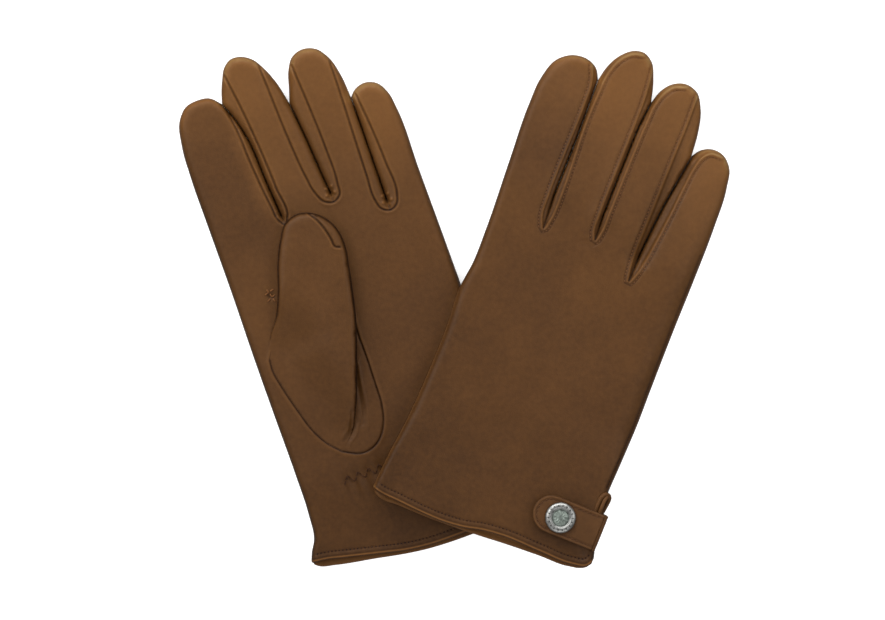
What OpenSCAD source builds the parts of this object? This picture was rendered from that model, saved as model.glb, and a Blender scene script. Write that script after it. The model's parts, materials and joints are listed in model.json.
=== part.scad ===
// A pair of leather driving gloves lying flat: the left one palm up, the right one back up on its cuff.
// Each glove is drawn palm up in its own frame: +Y to the fingertips, index finger at -X, back at z = 0.

/* [Leather] */
// Thickness of the hide in the hand and fingers
leather_t = 1.2; // [0.8:0.1:1.6]
// Thickness of an empty glove lying flat
glove_t = 12; // [11:0.5:14]
// Thickness of the empty thumb
thumb_t = 10; // [8:0.5:10]
// Thickness of the thumb gusset and of the strap anchor
patch_t = 1.2; // [0.8:0.1:1.2]
// Clear gap between a finger and its neighbours
finger_gap = 0.6; // [0.5:0.1:0.8]

/* [Cuff] */
// Height of the binding round the hem
binding_h = 4.5; // [3:0.5:6]
// Height of the facing inside the cuff
facing_h = 24; // [10:1:30]
// Height of the vent above the hem
vent_h = 34; // [30:1:36]
// Width of the wrist elastic
elastic_w = 6; // [4:1:8]

/* [Strap and snap] */
// Width of the strap
strap_w = 18.5; // [16:0.5:19]
// Thickness of each of the strap's two layers
strap_layer_t = 0.8; // [0.6:0.1:0.8]
// Diameter of the snap's cap
cap_d = 15; // [12:0.5:16]
// Height of the snap's cap above the strap
cap_h = 2.2; // [1.6:0.1:2.2]
// Diameter of the snap's stud
stud_d = 4; // [3.4:0.2:4.4]

/* [Lie of the pair] */
// Turn of the left glove, anticlockwise
left_turn = 20.5; // [20:0.5:22]
// Turn of the right glove, clockwise
right_turn = 22; // [21:0.5:23]
// Height of the right glove's palm above the table
right_lift = 13.6; // [13.6:0.2:16]

/* [Hidden] */
$fn = 64;
SIDES = ["left", "right"];
FINGERS = ["index_finger", "middle_finger", "ring_finger", "little_finger"];
// Each forchette as name, finger number and side (0 towards the index finger, 1 towards the little finger)
FORCHETTES = [
    ["index_forchette", 0, 1],
    ["middle_forchette_inner", 1, 0],
    ["middle_forchette_outer", 1, 1],
    ["ring_forchette_inner", 2, 0],
    ["ring_forchette_outer", 2, 1],
    ["little_forchette", 3, 0]
];
PIECES = concat(
    ["trank"], FINGERS, [for (f = FORCHETTES) f[0]],
    ["thumb", "thumb_gusset", "cuff_binding", "cuff_facing", "vent_binding", "wrist_elastic"],
    ["strap_anchor", "strap_top", "strap_backing", "snap_cap", "snap_socket", "snap_stud", "snap_post"]
);
NODES = [for (side = SIDES, piece = PIECES) str(side, "_", piece)];
node = "all";

hide_brown = [0.39, 0.26, 0.16];
edge_brown = [0.28, 0.18, 0.11];
elastic_tan = [0.55, 0.45, 0.34];
steel_grey = [0.72, 0.74, 0.72];

// Height of the raised glove's fingertips above the table
tip_gap = 0.3;
// Where each glove's hem centre lies, and how it is turned
hem_at = [[-7.72, -110.05], [13.08, -106.65]];
turns = [left_turn, -right_turn];

// The strap: its middle line, free end, fold, snap and the start of its sewn part
strap_y = 18.5;
strap_end_x = 20.5;
fold_x = 55;
anchor_x = 30;
snap_at = [34.5, strap_y];
strap_t = 2 * strap_layer_t;
// Gap between the back of the hand and the closed strap, filled by the snap's socket
under_gap = 2.2;
socket_gap = 0.8;
shank_r = 1.25;
rim_t = 0.3;
disc_t = 0.5;
// The recess under the strap; only the glove lying on its strap has one
recess_x = 17;
recess_w = 22;
table_gap = 0.4;
// Height of the back face inside that recess
back_z = [strap_t + under_gap + cap_h + table_gap, 0];

// The vent's slot and the edge that its binding lies on
slot_x = 46;
vent_edge = [52.5, 9.5];

// Finger outlines: root, side and shoulder on the index side, tip, then shoulder, side and root
finger_points = [
    [
        [[-53.5, 170], [-52.5, 195], [-52, 215], [-36.5, 239], [-22.5, 222], [-19, 200], [-18, 170]],
        [[-17, 171], [-18, 200], [-22.4, 232], [-12.5, 252], [5, 222], [6.5, 205], [8.5, 171]],
        [[9.5, 170], [7.5, 205], [6, 222], [20.5, 244], [34.5, 214], [34, 190], [33.2, 170]],
        [[34.2, 158], [35, 185], [35.6, 209], [43.5, 218], [54, 203], [53.7, 180], [53.5, 158]]
    ],
    [
        [[-52.5, 163], [-53.5, 180], [-55, 205], [-38, 231], [-28.2, 221], [-27.3, 190], [-27, 163]],
        [[-26, 164], [-26.3, 190], [-27.2, 222], [-13, 244], [-0.2, 220], [-1.6, 195], [-1.2, 164]],
        [[-0.2, 163], [-0.6, 195], [0.8, 221], [13, 238], [28, 206], [25.5, 188], [23.2, 163]],
        [[23.8, 151], [26.6, 188], [29.2, 205], [37.5, 213], [50.3, 195], [51.8, 175], [52, 151]]
    ]
];
// Index-finger edge of the hand, from the root to the hem
radial_edge = [
    [[-53.5, 170], [-53.5, 140], [-54.5, 110], [-55, 80], [-55.5, 45], [-57, 25], [-60, 13], [-63, 8]],
    [[-52.5, 163], [-51.5, 125], [-52.8, 104], [-51.5, 85], [-51.5, 60], [-53, 30], [-55.5, 2], [-55.5, -2]]
];
// Little-finger edge of the hand, from the hem to the root
ulnar_edge = [
    [[56, 4], [55.5, 8], [52.5, 9.5], [52.5, 36], [52.3, 60], [53, 100], [53.5, 130], [53.5, 158]],
    [[56, 4], [55.5, 8], [52.5, 9.5], [52.5, 36], [51.8, 45], [52.8, 75], [52, 130], [52, 151]]
];
hem_line = [
    [[-72, 9], [-57, 4], [-30, -1], [-17, -4], [0, -6], [15, -6.5], [35, -6], [50, -3], [60, 3]],
    [[-60, -4], [-53, -4.5], [-30, -5], [-3, -4], [10, -3.2], [30, -2], [47, -1.2], [60, 3]]
];

// The thumb's turning centre, its base radius and its outline above the base
thumb_hub = [[-25.5, 78], [-22, 97]];
thumb_hub_r = [19, 14.5];
thumb_edges = [
    [[[-46, 104], [-41, 118], [-31.5, 138], [-25, 154]], [-9.5, 168.5], [[6.5, 152], [1.5, 125], [-4, 102]]],
    [[[-36.5, 106], [-32, 125], [-28, 146]], [-13, 160], [[0, 146], [-3, 125], [-7.5, 104]]]
];
thumb_hole_r = [14, 10];
thumb_gap = 0.3;
thumb_z = glove_t + patch_t + thumb_gap;
// Outline of the gusset round the thumb's base
gusset_points = [
    [[-47.5, 107], [-46.5, 92], [-43, 79], [-35.5, 62], [-29, 54.5], [-20, 50.5], [-15, 51], [-9, 55],
     [-4, 66], [-2.7, 85], [-2.5, 104]],
    [[-40, 120], [-42, 105], [-38, 94], [-30, 85], [-18, 80], [-8, 85], [-4, 98], [-4, 120]]
];

// Quarter of a rounded tip, from shoulder s to tip t
function quarter(s, t, steps = 6, power = 0.9) = [
    for (k = [0 : steps])
        let (a = 90 * k / steps)
        [t[0] + (s[0] - t[0]) * pow(cos(a), power), s[1] + (t[1] - s[1]) * pow(sin(a), power)]
];
function reversed(list) = [for (k = [len(list) - 1 : -1 : 0]) list[k]];
function shifted(list, by) = [for (p = list) p + by];
function root_y(g, i) = finger_points[g][i][0][1];

// A finger's outline with its leather taken off each side; it runs on below the root by tail
function finger_outline(f, wall, tail) = concat(
    [f[0] + [wall, -tail], f[1] + [wall, 0]],
    quarter(f[2] + [wall, 0], f[3] - [0, wall]),
    reversed(quarter(f[4] - [wall, 0], f[3] - [0, wall])),
    [f[5] - [wall, 0], f[6] - [wall, tail]]
);
// The strip along one side of a finger that its forchette fills, widened outwards by out
function side_strip(f, side, out, tail) =
    let (edge = side == 0 ? [f[0], f[1], f[2]] : [f[6], f[5], f[4]], inward = side == 0 ? 1 : -1)
    concat(
        [edge[0] + [-inward * out, -tail]], shifted([edge[1], edge[2]], [-inward * out, 0]),
        reversed(shifted([edge[1], edge[2]], [inward * leather_t, 0])),
        [edge[0] + [inward * leather_t, -tail]]
    );
// How far a finger of the raised glove droops to reach the table
function droop(g, i) =
    g == 0 ? 0 : asin((right_lift - tip_gap) / (finger_points[g][i][3][1] - root_y(g, i)));

// Puts palm-up shapes where the glove lies; the right glove is turned over
module place(g) {
    translate([hem_at[g][0], hem_at[g][1], g == 0 ? 0 : right_lift + glove_t])
        rotate([0, 0, turns[g]])
            mirror([0, 0, g])
                children();
}
// Bends a finger at its root and trims it square to the hand
module at_root(g, i) {
    y = root_y(g, i);
    difference() {
        translate([0, y, 0])
            rotate([droop(g, i), 0, 0])
                translate([0, -y, 0])
                    children();
        translate([-100, y - 50 + finger_gap / 2, -50])
            cube([200, 50, 100]);
    }
}
module slab(low, high) {
    translate([0, 0, low])
        linear_extrude(high - low)
            children();
}

// Plan shapes of the hand
module hand_plan(g) {
    polygon(concat(
        [for (k = [1 : len(radial_edge[g]) - 1]) radial_edge[g][k]],
        [for (k = [1 : len(hem_line[g]) - 2]) hem_line[g][k]],
        [for (k = [0 : len(ulnar_edge[g]) - 2]) ulnar_edge[g][k]],
        [for (i = [3 : -1 : 0]) each [
            [finger_points[g][i][6][0], root_y(g, i) - finger_gap / 2],
            [finger_points[g][i][0][0], root_y(g, i) - finger_gap / 2]
        ]]
    ));
}
module hand_hollow_plan(g) {
    top = root_y(g, 3) - 4;
    wide = 2 * leather_t;
    polygon(concat(
        [[radial_edge[g][0][0] + leather_t, top]],
        [for (k = [1 : len(radial_edge[g]) - 1]) radial_edge[g][k] + [leather_t, 0]],
        [radial_edge[g][len(radial_edge[g]) - 1] + [leather_t, -20], [ulnar_edge[g][0][0] - leather_t, -20]],
        [for (k = [0 : len(ulnar_edge[g]) - 2]) ulnar_edge[g][k] - [leather_t, 0]],
        [[ulnar_edge[g][len(ulnar_edge[g]) - 1][0] - leather_t, top]]
    ));
    for (i = [0 : 3])
        translate([finger_points[g][i][0][0] + leather_t, top - 2])
            square([
                finger_points[g][i][6][0] - finger_points[g][i][0][0] - wide,
                root_y(g, i) - top + 5
            ]);
}
// The band along the hem, between heights a and b above it
module hem_band_plan(g, a, b) {
    polygon(concat(shifted(hem_line[g], [0, a]), reversed(shifted(hem_line[g], [0, b]))));
}
module vent_slot() {
    translate([slot_x, -20, leather_t])
        cube([20, vent_h + 20, glove_t - 2 * leather_t]);
}
// The hollow that a strap needs under a glove lying on it, grown by wall
module strap_recess(g, wall) {
    if (back_z[g] > 0)
        translate([recess_x - wall, strap_y - recess_w / 2 - wall, -1])
            cube([60, recess_w + 2 * wall, back_z[g] + 1 + wall]);
}

module trank(g) {
    color(hide_brown)
        difference() {
            slab(0, glove_t)
                difference() {
                    hand_plan(g);
                    hem_band_plan(g, -20, binding_h);
                }
            difference() {
                slab(leather_t, glove_t - leather_t)
                    hand_hollow_plan(g);
                strap_recess(g, leather_t);
            }
            difference() {
                vent_slot();
                strap_recess(g, leather_t);
            }
            strap_recess(g, 0);
            translate([thumb_hub[g][0], thumb_hub[g][1], glove_t - leather_t - 1])
                cylinder(r = thumb_hole_r[g], h = leather_t + 2);
            translate([snap_at[0], snap_at[1], back_z[g] - 1])
                cylinder(r = shank_r + 0.05, h = leather_t + 2);
        }
}
module finger(g, i) {
    f = finger_points[g][i];
    color(hide_brown)
        at_root(g, i)
            difference() {
                slab(0, glove_t)
                    polygon(finger_outline(f, 0, 3));
                slab(leather_t, glove_t - leather_t) {
                    polygon(finger_outline(f, leather_t, 10));
                    if (i > 0)
                        polygon(side_strip(f, 0, 5, 10));
                    if (i < 3)
                        polygon(side_strip(f, 1, 5, 10));
                }
            }
}
module forchette(g, i, side) {
    color(hide_brown * 1.15)
        at_root(g, i)
            slab(leather_t, glove_t - leather_t)
                polygon(side_strip(finger_points[g][i], side, 0, 3));
}

module thumb_plan(g, wall) {
    hub = thumb_hub[g];
    r = thumb_hub_r[g] - wall;
    edges = thumb_edges[g];
    tip = edges[1] - [0, wall];
    inner = edges[0];
    outer = edges[2];
    polygon(concat(
        [for (a = [180 : 12 : 360]) hub + r * [cos(a), sin(a)]],
        reversed([for (k = [1 : len(outer) - 1]) outer[k] - [wall, 0]]),
        quarter(outer[0] - [wall, 0], tip),
        reversed(quarter(inner[len(inner) - 1] + [wall, 0], tip)),
        reversed([for (k = [0 : len(inner) - 2]) inner[k] + [wall, 0]])
    ));
}
module thumb(g) {
    color(hide_brown)
        difference() {
            slab(thumb_z, thumb_z + thumb_t)
                thumb_plan(g, 0);
            slab(thumb_z + leather_t, thumb_z + thumb_t - leather_t)
                thumb_plan(g, leather_t);
            translate([thumb_hub[g][0], thumb_hub[g][1], thumb_z - 1])
                cylinder(r = thumb_hole_r[g], h = leather_t + 2);
        }
}
module thumb_gusset(g) {
    color(hide_brown * 0.9)
        difference() {
            slab(glove_t, glove_t + patch_t)
                polygon(gusset_points[g]);
            translate([thumb_hub[g][0], thumb_hub[g][1], glove_t - 1])
                cylinder(r = thumb_hole_r[g], h = patch_t + 2);
        }
}

module cuff_binding(g) {
    color(edge_brown)
        difference() {
            slab(0, glove_t)
                intersection() {
                    hand_plan(g);
                    hem_band_plan(g, -20, binding_h);
                }
            slab(leather_t, glove_t - leather_t)
                hand_hollow_plan(g);
            vent_slot();
        }
}
// Lines the cuff: the palm side as far as the vent, and the back as far as the strap
module cuff_facing(g) {
    facing_t = 0.8;
    back_end_x = 12;
    color(hide_brown * 1.3)
        difference() {
            slab(leather_t, glove_t - leather_t)
                intersection() {
                    hand_hollow_plan(g);
                    hem_band_plan(g, binding_h, binding_h + facing_h);
                    translate([-100, -50])
                        square([145, 100]);
                }
            slab(leather_t + facing_t, glove_t - leather_t - facing_t)
                translate([facing_t, 0])
                    hand_hollow_plan(g);
            translate([back_end_x, -50, 0])
                cube([50, 100, glove_t - leather_t - facing_t]);
        }
}
// Edges the vent: a rail on the palm side, round the top of the slit and a little way down the back
module vent_binding() {
    rail_t = 1.5;
    inset = 0.2;
    top_h = 5;
    color(edge_brown)
        translate([vent_edge[0], 0, 0]) {
            translate([0, vent_edge[1], glove_t - rail_t - inset])
                cube([rail_t, vent_h - vent_edge[1], rail_t]);
            translate([0, vent_h, inset])
                cube([rail_t, top_h, glove_t - 2 * inset]);
        }
}
// Gathers the wrist from inside the palm
module wrist_elastic() {
    elastic_t = 1;
    length = 64;
    start = [-36, 37];
    color(elastic_tan)
        translate([start[0], start[1], glove_t - leather_t - elastic_t])
            cube([length, elastic_w, elastic_t]);
}

// Sewn to the palm and wrapped round the little-finger edge to the fold
module strap_anchor(g) {
    end_x = fold_x + 0.6;
    top = glove_t + patch_t;
    bottom = back_z[g] - under_gap + 0.6;
    color(hide_brown)
        translate([0, strap_y - strap_w / 2, 0]) {
            translate([anchor_x, 0, glove_t])
                cube([end_x - anchor_x, strap_w, patch_t]);
            translate([end_x - patch_t, 0, bottom])
                cube([patch_t, strap_w, top - bottom]);
        }
}
module strap_plan() {
    r = strap_w / 2;
    difference() {
        union() {
            translate([strap_end_x + r, strap_y])
                circle(r = r);
            translate([strap_end_x + r, strap_y - r])
                square([fold_x - strap_layer_t - strap_end_x - r, strap_w]);
        }
        translate(snap_at)
            circle(r = shank_r + 0.05);
    }
}
module strap_top(g) {
    z = back_z[g] - under_gap - strap_layer_t;
    fold_w = 2;
    color(hide_brown) {
        slab(z - strap_layer_t, z) {
            strap_plan();
            translate([fold_x - fold_w, strap_y - strap_w / 2])
                square([fold_w, strap_w]);
        }
        translate([fold_x, strap_y + strap_w / 2, z])
            rotate([90, 0, 0])
                cylinder(r = strap_layer_t, h = strap_w);
    }
}
module strap_backing(g) {
    z = back_z[g] - under_gap;
    color(hide_brown * 0.85)
        slab(z - strap_layer_t, z)
            strap_plan();
}

// The snap: the cap is riveted through the strap to the socket, the stud through the glove to the post
module on_snap(z) {
    translate([snap_at[0], snap_at[1], z])
        mirror([0, 0, 1])
            children();
}
module snap_cap(g) {
    r = cap_d / 2;
    sunk_h = cap_h - 0.6;
    color(steel_grey)
        on_snap(back_z[g] - under_gap - strap_t) {
            rotate_extrude()
                polygon([
                    [0, 0], [r - 0.6, 0], [r, 0.5], [r - 0.3, 1.2],
                    [r - 1.5, cap_h], [r - 2.4, cap_h], [r - 3, sunk_h], [0, sunk_h]
                ]);
            translate([0, 0, -strap_t])
                cylinder(r = shank_r, h = strap_t + 0.5);
        }
}
module snap_socket(g) {
    socket_r = 5.5;
    height = under_gap - socket_gap;
    color(steel_grey * 0.9)
        on_snap(back_z[g] - socket_gap)
            difference() {
                cylinder(r = socket_r, h = height);
                translate([0, 0, -1])
                    cylinder(r = stud_d / 2 + 0.4, h = height - rim_t + 1);
            }
}
module snap_stud(g) {
    base_r = 4.5;
    height = 1.6;
    color(steel_grey * 0.9)
        on_snap(back_z[g]) {
            cylinder(r = base_r, h = disc_t);
            cylinder(r = stud_d / 2, h = height);
        }
}
module snap_post(g) {
    disc_r = 4;
    color(steel_grey * 0.8)
        on_snap(back_z[g]) {
            translate([0, 0, -leather_t])
                cylinder(r = shank_r, h = leather_t);
            translate([0, 0, -leather_t - disc_t])
                cylinder(r = disc_r, h = disc_t);
        }
}

function shown(g, piece) = node == "all" || node == str(SIDES[g], "_", piece);

for (g = [0, 1])
    place(g) {
        if (shown(g, "trank")) trank(g);
        for (i = [0 : 3])
            if (shown(g, FINGERS[i])) finger(g, i);
        for (f = FORCHETTES)
            if (shown(g, f[0])) forchette(g, f[1], f[2]);
        if (shown(g, "thumb")) thumb(g);
        if (shown(g, "thumb_gusset")) thumb_gusset(g);
        if (shown(g, "cuff_binding")) cuff_binding(g);
        if (shown(g, "cuff_facing")) cuff_facing(g);
        if (shown(g, "vent_binding")) vent_binding();
        if (shown(g, "wrist_elastic")) wrist_elastic();
        if (shown(g, "strap_anchor")) strap_anchor(g);
        if (shown(g, "strap_top")) strap_top(g);
        if (shown(g, "strap_backing")) strap_backing(g);
        if (shown(g, "snap_cap")) snap_cap(g);
        if (shown(g, "snap_socket")) snap_socket(g);
        if (shown(g, "snap_stud")) snap_stud(g);
        if (shown(g, "snap_post")) snap_post(g);
    }
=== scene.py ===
"""A pair of leather driving gloves lying flat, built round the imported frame.

Each glove is drawn palm up in its own frame, in millimetres: x runs from the index finger's edge to the
little finger's, y from the hem to the fingertips, and z from the back of the hand (0) to the palm (12).
place() turns such points into the row frame, and turns the right glove over.
"""

import json
import math

import bpy
import numpy as np
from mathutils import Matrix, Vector, noise
from mathutils.geometry import delaunay_2d_cdt


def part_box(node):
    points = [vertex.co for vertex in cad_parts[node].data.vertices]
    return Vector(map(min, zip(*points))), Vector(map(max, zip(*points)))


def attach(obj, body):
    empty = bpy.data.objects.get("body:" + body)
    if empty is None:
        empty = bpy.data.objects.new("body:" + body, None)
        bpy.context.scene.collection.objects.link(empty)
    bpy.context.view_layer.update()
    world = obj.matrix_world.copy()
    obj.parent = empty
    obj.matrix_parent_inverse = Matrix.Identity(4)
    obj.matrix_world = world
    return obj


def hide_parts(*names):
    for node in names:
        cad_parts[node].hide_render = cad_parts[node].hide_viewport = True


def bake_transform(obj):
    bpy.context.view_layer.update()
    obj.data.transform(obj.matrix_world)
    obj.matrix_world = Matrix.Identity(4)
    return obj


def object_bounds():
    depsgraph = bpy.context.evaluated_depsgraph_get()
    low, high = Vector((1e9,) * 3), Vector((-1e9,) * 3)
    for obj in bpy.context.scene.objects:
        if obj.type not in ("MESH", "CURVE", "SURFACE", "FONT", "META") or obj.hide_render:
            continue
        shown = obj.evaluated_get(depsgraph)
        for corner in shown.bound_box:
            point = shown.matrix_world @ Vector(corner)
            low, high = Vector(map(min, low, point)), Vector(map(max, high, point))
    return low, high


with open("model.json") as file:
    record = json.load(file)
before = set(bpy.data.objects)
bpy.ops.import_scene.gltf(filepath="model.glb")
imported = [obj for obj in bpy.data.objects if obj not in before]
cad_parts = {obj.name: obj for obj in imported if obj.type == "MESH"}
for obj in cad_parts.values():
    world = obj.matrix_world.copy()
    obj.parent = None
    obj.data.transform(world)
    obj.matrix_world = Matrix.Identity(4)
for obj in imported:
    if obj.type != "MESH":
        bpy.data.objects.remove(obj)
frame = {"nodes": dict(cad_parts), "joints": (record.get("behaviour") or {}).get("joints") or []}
cad_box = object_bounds()
joints = {j["name"]: j for j in frame["joints"]}

MM = 0.001
SIDES = ("left", "right")
FINGERS = ("index", "middle", "ring", "little")
FORCHETTES = (
    ("index_forchette", 0, 1),
    ("middle_forchette_inner", 1, 0),
    ("middle_forchette_outer", 1, 1),
    ("ring_forchette_inner", 2, 0),
    ("ring_forchette_outer", 2, 1),
    ("little_forchette", 3, 0),
)

# Sizes shared by both gloves, in millimetres
GLOVE_T = 12.0
MID_Z = GLOVE_T / 2
LEATHER_T = 1.2
FOLD = np.array([55.0, 18.5])
STITCH_PITCH = 2.4
SEAM_PITCH = 1.7
SEAM_INSET = 1.8
HEM_STITCH = 3.0
SLIT = 0.01
SLIT_ROLL = {"palm": 2.8, "back": 1.25}
EDGE_ROLL = 4.6
TABLE_GAP = 0.5
STRAP_RECESS = 6.5
ON_EDGE = 0.001
ON_LINE = 1e-6
EDGE_STEP = 1.5
HEM_STEP = 0.9
SEAM_STEP = 0.85
FIELD_STEP = 2.6
HIDDEN_STEP = 3.4
CELL = 3.0

# The outlines, palm up. A crease is where two fingers meet, from the tip down to the crotch; its tail
# goes on to where the seams round it close. A seam runs down the lower finger's side, round the tail and up.
SHAPES = {
    "left": {
        "upper": "palm",
        "radial": [(-63, 8), (-61.3, 12), (-58.3, 17), (-56.2, 30), (-55.4, 50), (-55, 80), (-54.5, 110),
                   (-53.5, 145), (-53, 180), (-52.5, 205), (-51.3, 220), (-47.6, 233), (-42.5, 238),
                   (-36.5, 239), (-30.5, 238), (-25.5, 233)],
        "arcs": [
            [(-25.5, 233), (-24, 238), (-21.4, 244), (-18.2, 249.5), (-14, 252.2), (-9.5, 251.8), (-4, 248.4),
             (-0.3, 242.5), (3, 234), (5.5, 222)],
            [(5.5, 222), (7.6, 228), (10.6, 237), (14.5, 242.6), (20.5, 244.5), (26.6, 242.6), (31.5, 236),
             (34, 226), (34.8, 214)],
        ],
        "ulnar": [(34.8, 214), (37.5, 216.8), (43.5, 218.5), (49.2, 216.2), (52.7, 210), (54, 201),
                  (53.7, 170), (53.4, 130), (53, 100), (52.3, 60), (52.4, 30), (53, 13), (55.3, 9), (56, 4)],
        "creases": [
            [(-25.5, 233), (-21.7, 222), (-19.6, 212), (-18.5, 190), (-17.5, 172)],
            [(5.5, 222), (7, 205), (8.4, 182), (9, 174)],
            [(34.8, 214), (34.3, 190), (33.6, 161)],
        ],
        "tails": {
            "palm": [(-17, 166.8), (9, 169), (33.5, 155.6)],
            "back": [(-17.5, 158), (9, 160), (33.5, 147)],
        },
        "seams": {
            "palm": [
                [(-28.5, 237.6), (-25.3, 231), (-23.5, 222), (-22.4, 200), (-20.5, 178), (-19.2, 169.5),
                 (-17, 166.8), (-15, 169.5), (-15, 185), (-16, 210), (-17.6, 230), (-19.6, 246)],
                [(-2, 246), (-1.6, 225), (-1, 205), (0.5, 185), (2, 176), (4.8, 170.6), (9, 169),
                 (12.6, 170.8), (13.9, 177), (14.5, 195), (14.1, 215), (13, 239)],
                [(31.3, 234), (30.5, 215), (29.5, 195), (28.6, 175), (28.2, 163), (29.8, 157.6),
                 (33.5, 155.6), (37.4, 157.2), (39.4, 162), (39.6, 178), (39, 195), (37.4, 215)],
            ],
        },
        "offsets": {"back": (2.6, 2.4)},
        "roots": (170, 171, 170, 158),
        "hems": {
            "palm": [(-63, 8), (-55, 6.9), (-47.5, 5), (-27.5, 0), (-17.5, -2.4), (-7.5, -3.8), (12.5, -4.3),
                     (35, -3.6), (50, -0.6), (56, 4)],
            "back": [(-63, 8), (-60, 5.2), (-52.5, 3), (-32.5, -1), (-17.5, -4), (-7.5, -5.4), (2.5, -6.1),
                     (15.5, -6.3), (35, -5.6), (50, -2.6), (56, 4)],
        },
        "thumb_base": [(-47.6, 107), (-48, 101.5), (-46.8, 94), (-43.5, 80), (-39.8, 67.5), (-36, 60.2),
                       (-29.8, 53)],
        "thumb_free": [(-29.8, 53), (-25.6, 56.8), (-21.6, 61), (-18, 67), (-14.4, 74), (-11.2, 82),
                       (-7.8, 91), (-4.2, 101), (-0.8, 111), (2.4, 124), (5.2, 137), (6.9, 147), (6.2, 155.5),
                       (2.4, 163), (-3, 167.6), (-9.5, 169.6), (-16.6, 167.6), (-22.3, 160), (-27.3, 150),
                       (-31.6, 138), (-37.5, 125.5), (-42.8, 118.6), (-46, 113), (-47.6, 107)],
        "gusset": [(-29.8, 53), (-21.5, 49), (-15.3, 49.4), (-9.2, 53.8), (-5.4, 60.5), (-3.6, 68),
                   (-2.9, 80), (-2.4, 100), (-4, 122), (-14, 130), (-30, 124), (-41.5, 116), (-47.6, 107)],
    },
    "right": {
        "upper": "back",
        "radial": [(-55.5, -1.5), (-54.6, 14), (-52.5, 35), (-51.5, 60), (-51.5, 85), (-52.8, 104),
                   (-51.4, 118), (-51.6, 135), (-53.5, 170), (-55, 200), (-54.4, 214), (-50.6, 225.3),
                   (-44, 230.3), (-36, 231), (-31, 228.5), (-28, 223.5)],
        "arcs": [
            [(-28, 223.5), (-26.6, 230.5), (-22.6, 238.5), (-17, 243.4), (-12, 244.4), (-7, 241.6), (-3, 234),
             (0.2, 223)],
            [(0.2, 223), (2.4, 230), (7, 235.6), (13, 237.8), (19, 236.2), (24, 229), (27.2, 217),
             (28.3, 206)],
        ],
        "ulnar": [(28.3, 206), (31, 210), (36.5, 213), (42.5, 212.4), (47.5, 208), (50.2, 198), (51.6, 178),
                  (52, 150), (52, 125), (52.4, 95), (52.8, 72), (52.2, 52), (51.8, 40), (52.2, 25),
                  (53.4, 13), (56.2, 9.5), (57.2, 6)],
        "creases": [
            [(-28, 223.5), (-27.5, 210), (-27, 190), (-27, 163)],
            [(0.2, 223), (-0.9, 212), (-1.2, 190), (-1.1, 163)],
            [(28.3, 206), (26.9, 196), (24.6, 178), (23.4, 164), (22.7, 151)],
        ],
        "tails": {
            "back": [(-25.7, 145.5), (-0.2, 149.5), (22.5, 137)],
            "palm": [(-27, 158), (-1, 158), (22.6, 146)],
        },
        "seams": {
            "back": [
                [(-33.5, 230), (-30.4, 222), (-29.5, 208), (-29.5, 185), (-29.3, 163), (-28, 150),
                 (-25.7, 145.5), (-24.4, 151), (-24.1, 165), (-24.9, 182), (-26, 202), (-25.8, 216),
                 (-24.9, 229), (-21.7, 237), (-16.6, 241.9), (-12, 243)],
                [(-5, 239), (-3.5, 226), (-3, 205), (-3, 180), (-2.8, 163), (-1.8, 152.5), (-0.2, 149.5),
                 (0.8, 153.5), (1, 166), (1, 190), (1.4, 212), (2.2, 224), (3.9, 229), (7.8, 234.2),
                 (13, 236.3)],
                [(20.2, 234), (20.6, 222), (20.5, 200), (20.5, 170), (20.6, 150), (21.2, 142), (22.5, 137),
                 (24.2, 141), (26.1, 150), (27.6, 162), (29, 176), (30.2, 191), (31.5, 202),
                 (33.2, 207.4), (37, 211), (42, 211.2)],
            ],
        },
        "offsets": {"palm": (7.5, 7.0)},
        "roots": (163, 164, 163, 151),
        "hems": {
            "back": [(-55.5, -1.5), (-50, -2.6), (-43, -3), (-28, -4), (-18, -4.1), (-8, -3.1), (2, -0.8),
                     (12, 0.3), (32, 0), (48, 0.1), (55, 2), (57.2, 6)],
            "palm": [(-55.5, -1.5), (-52, -4.2), (-40, -4.8), (-28, -5), (-13, -4.6), (2, -3.8), (12, -3),
                     (32, -1.9), (47, -1.4), (55, 1.2), (57.2, 6)],
        },
        "thumb_base": [(-37.5, 108), (-38, 98), (-34, 88), (-26, 83), (-18, 82)],
        "thumb_free": [(-18, 82), (-10.5, 90), (-7.5, 104), (-3, 125), (0, 146), (-1.5, 153), (-7, 158.6),
                       (-13, 160), (-20, 158.4), (-26, 152), (-28, 144), (-32, 125), (-36.5, 114),
                       (-37.5, 108)],
        "gusset": [(-18, 82), (-9, 86), (-5, 96), (-4.6, 112), (-12, 120), (-28, 119), (-37.5, 108)],
    },
}


def glove_frame(side):
    """Where a glove's frame lies: its turn and origin from its strap's joint, its height from its hand."""
    joint = joints[side + "_strap_open"]
    ax, ay = joint["axis"][0], joint["axis"][1]
    turn = math.atan2(-ax, ay) if ay > 0 else math.atan2(ax, -ay)
    c, s = math.cos(turn), math.sin(turn)
    fold = np.array(joint["pos_m"][:2]) / MM
    origin = fold - np.array([c * FOLD[0] - s * FOLD[1], s * FOLD[0] + c * FOLD[1]])
    back_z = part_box(side + "_trank")[1 if side == "right" else 0].z / MM
    return c, s, origin, back_z


PLACES = {side: glove_frame(side) for side in SIDES}


def place(side, points):
    """Palm-up points in millimetres, as points in the row frame in metres."""
    c, s, origin, back_z = PLACES[side]
    p = np.asarray(points, float).reshape(-1, 3)
    z = back_z - p[:, 2] if side == "right" else back_z + p[:, 2]
    x = origin[0] + c * p[:, 0] - s * p[:, 1]
    y = origin[1] + s * p[:, 0] + c * p[:, 1]
    return np.column_stack([x, y, z]) * MM


# ---- curves and distances in the plane ----
def ease(x):
    """From 0 at 0 to 1 at 1, level at both ends."""
    x = np.clip(x, 0, 1)
    return x * x * (3 - 2 * x)


def dome(x):
    """A quarter of a circle: 0 at 0, level from 1 on."""
    return np.sqrt(1 - (1 - np.clip(x, 0, 1)) ** 2)


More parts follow.
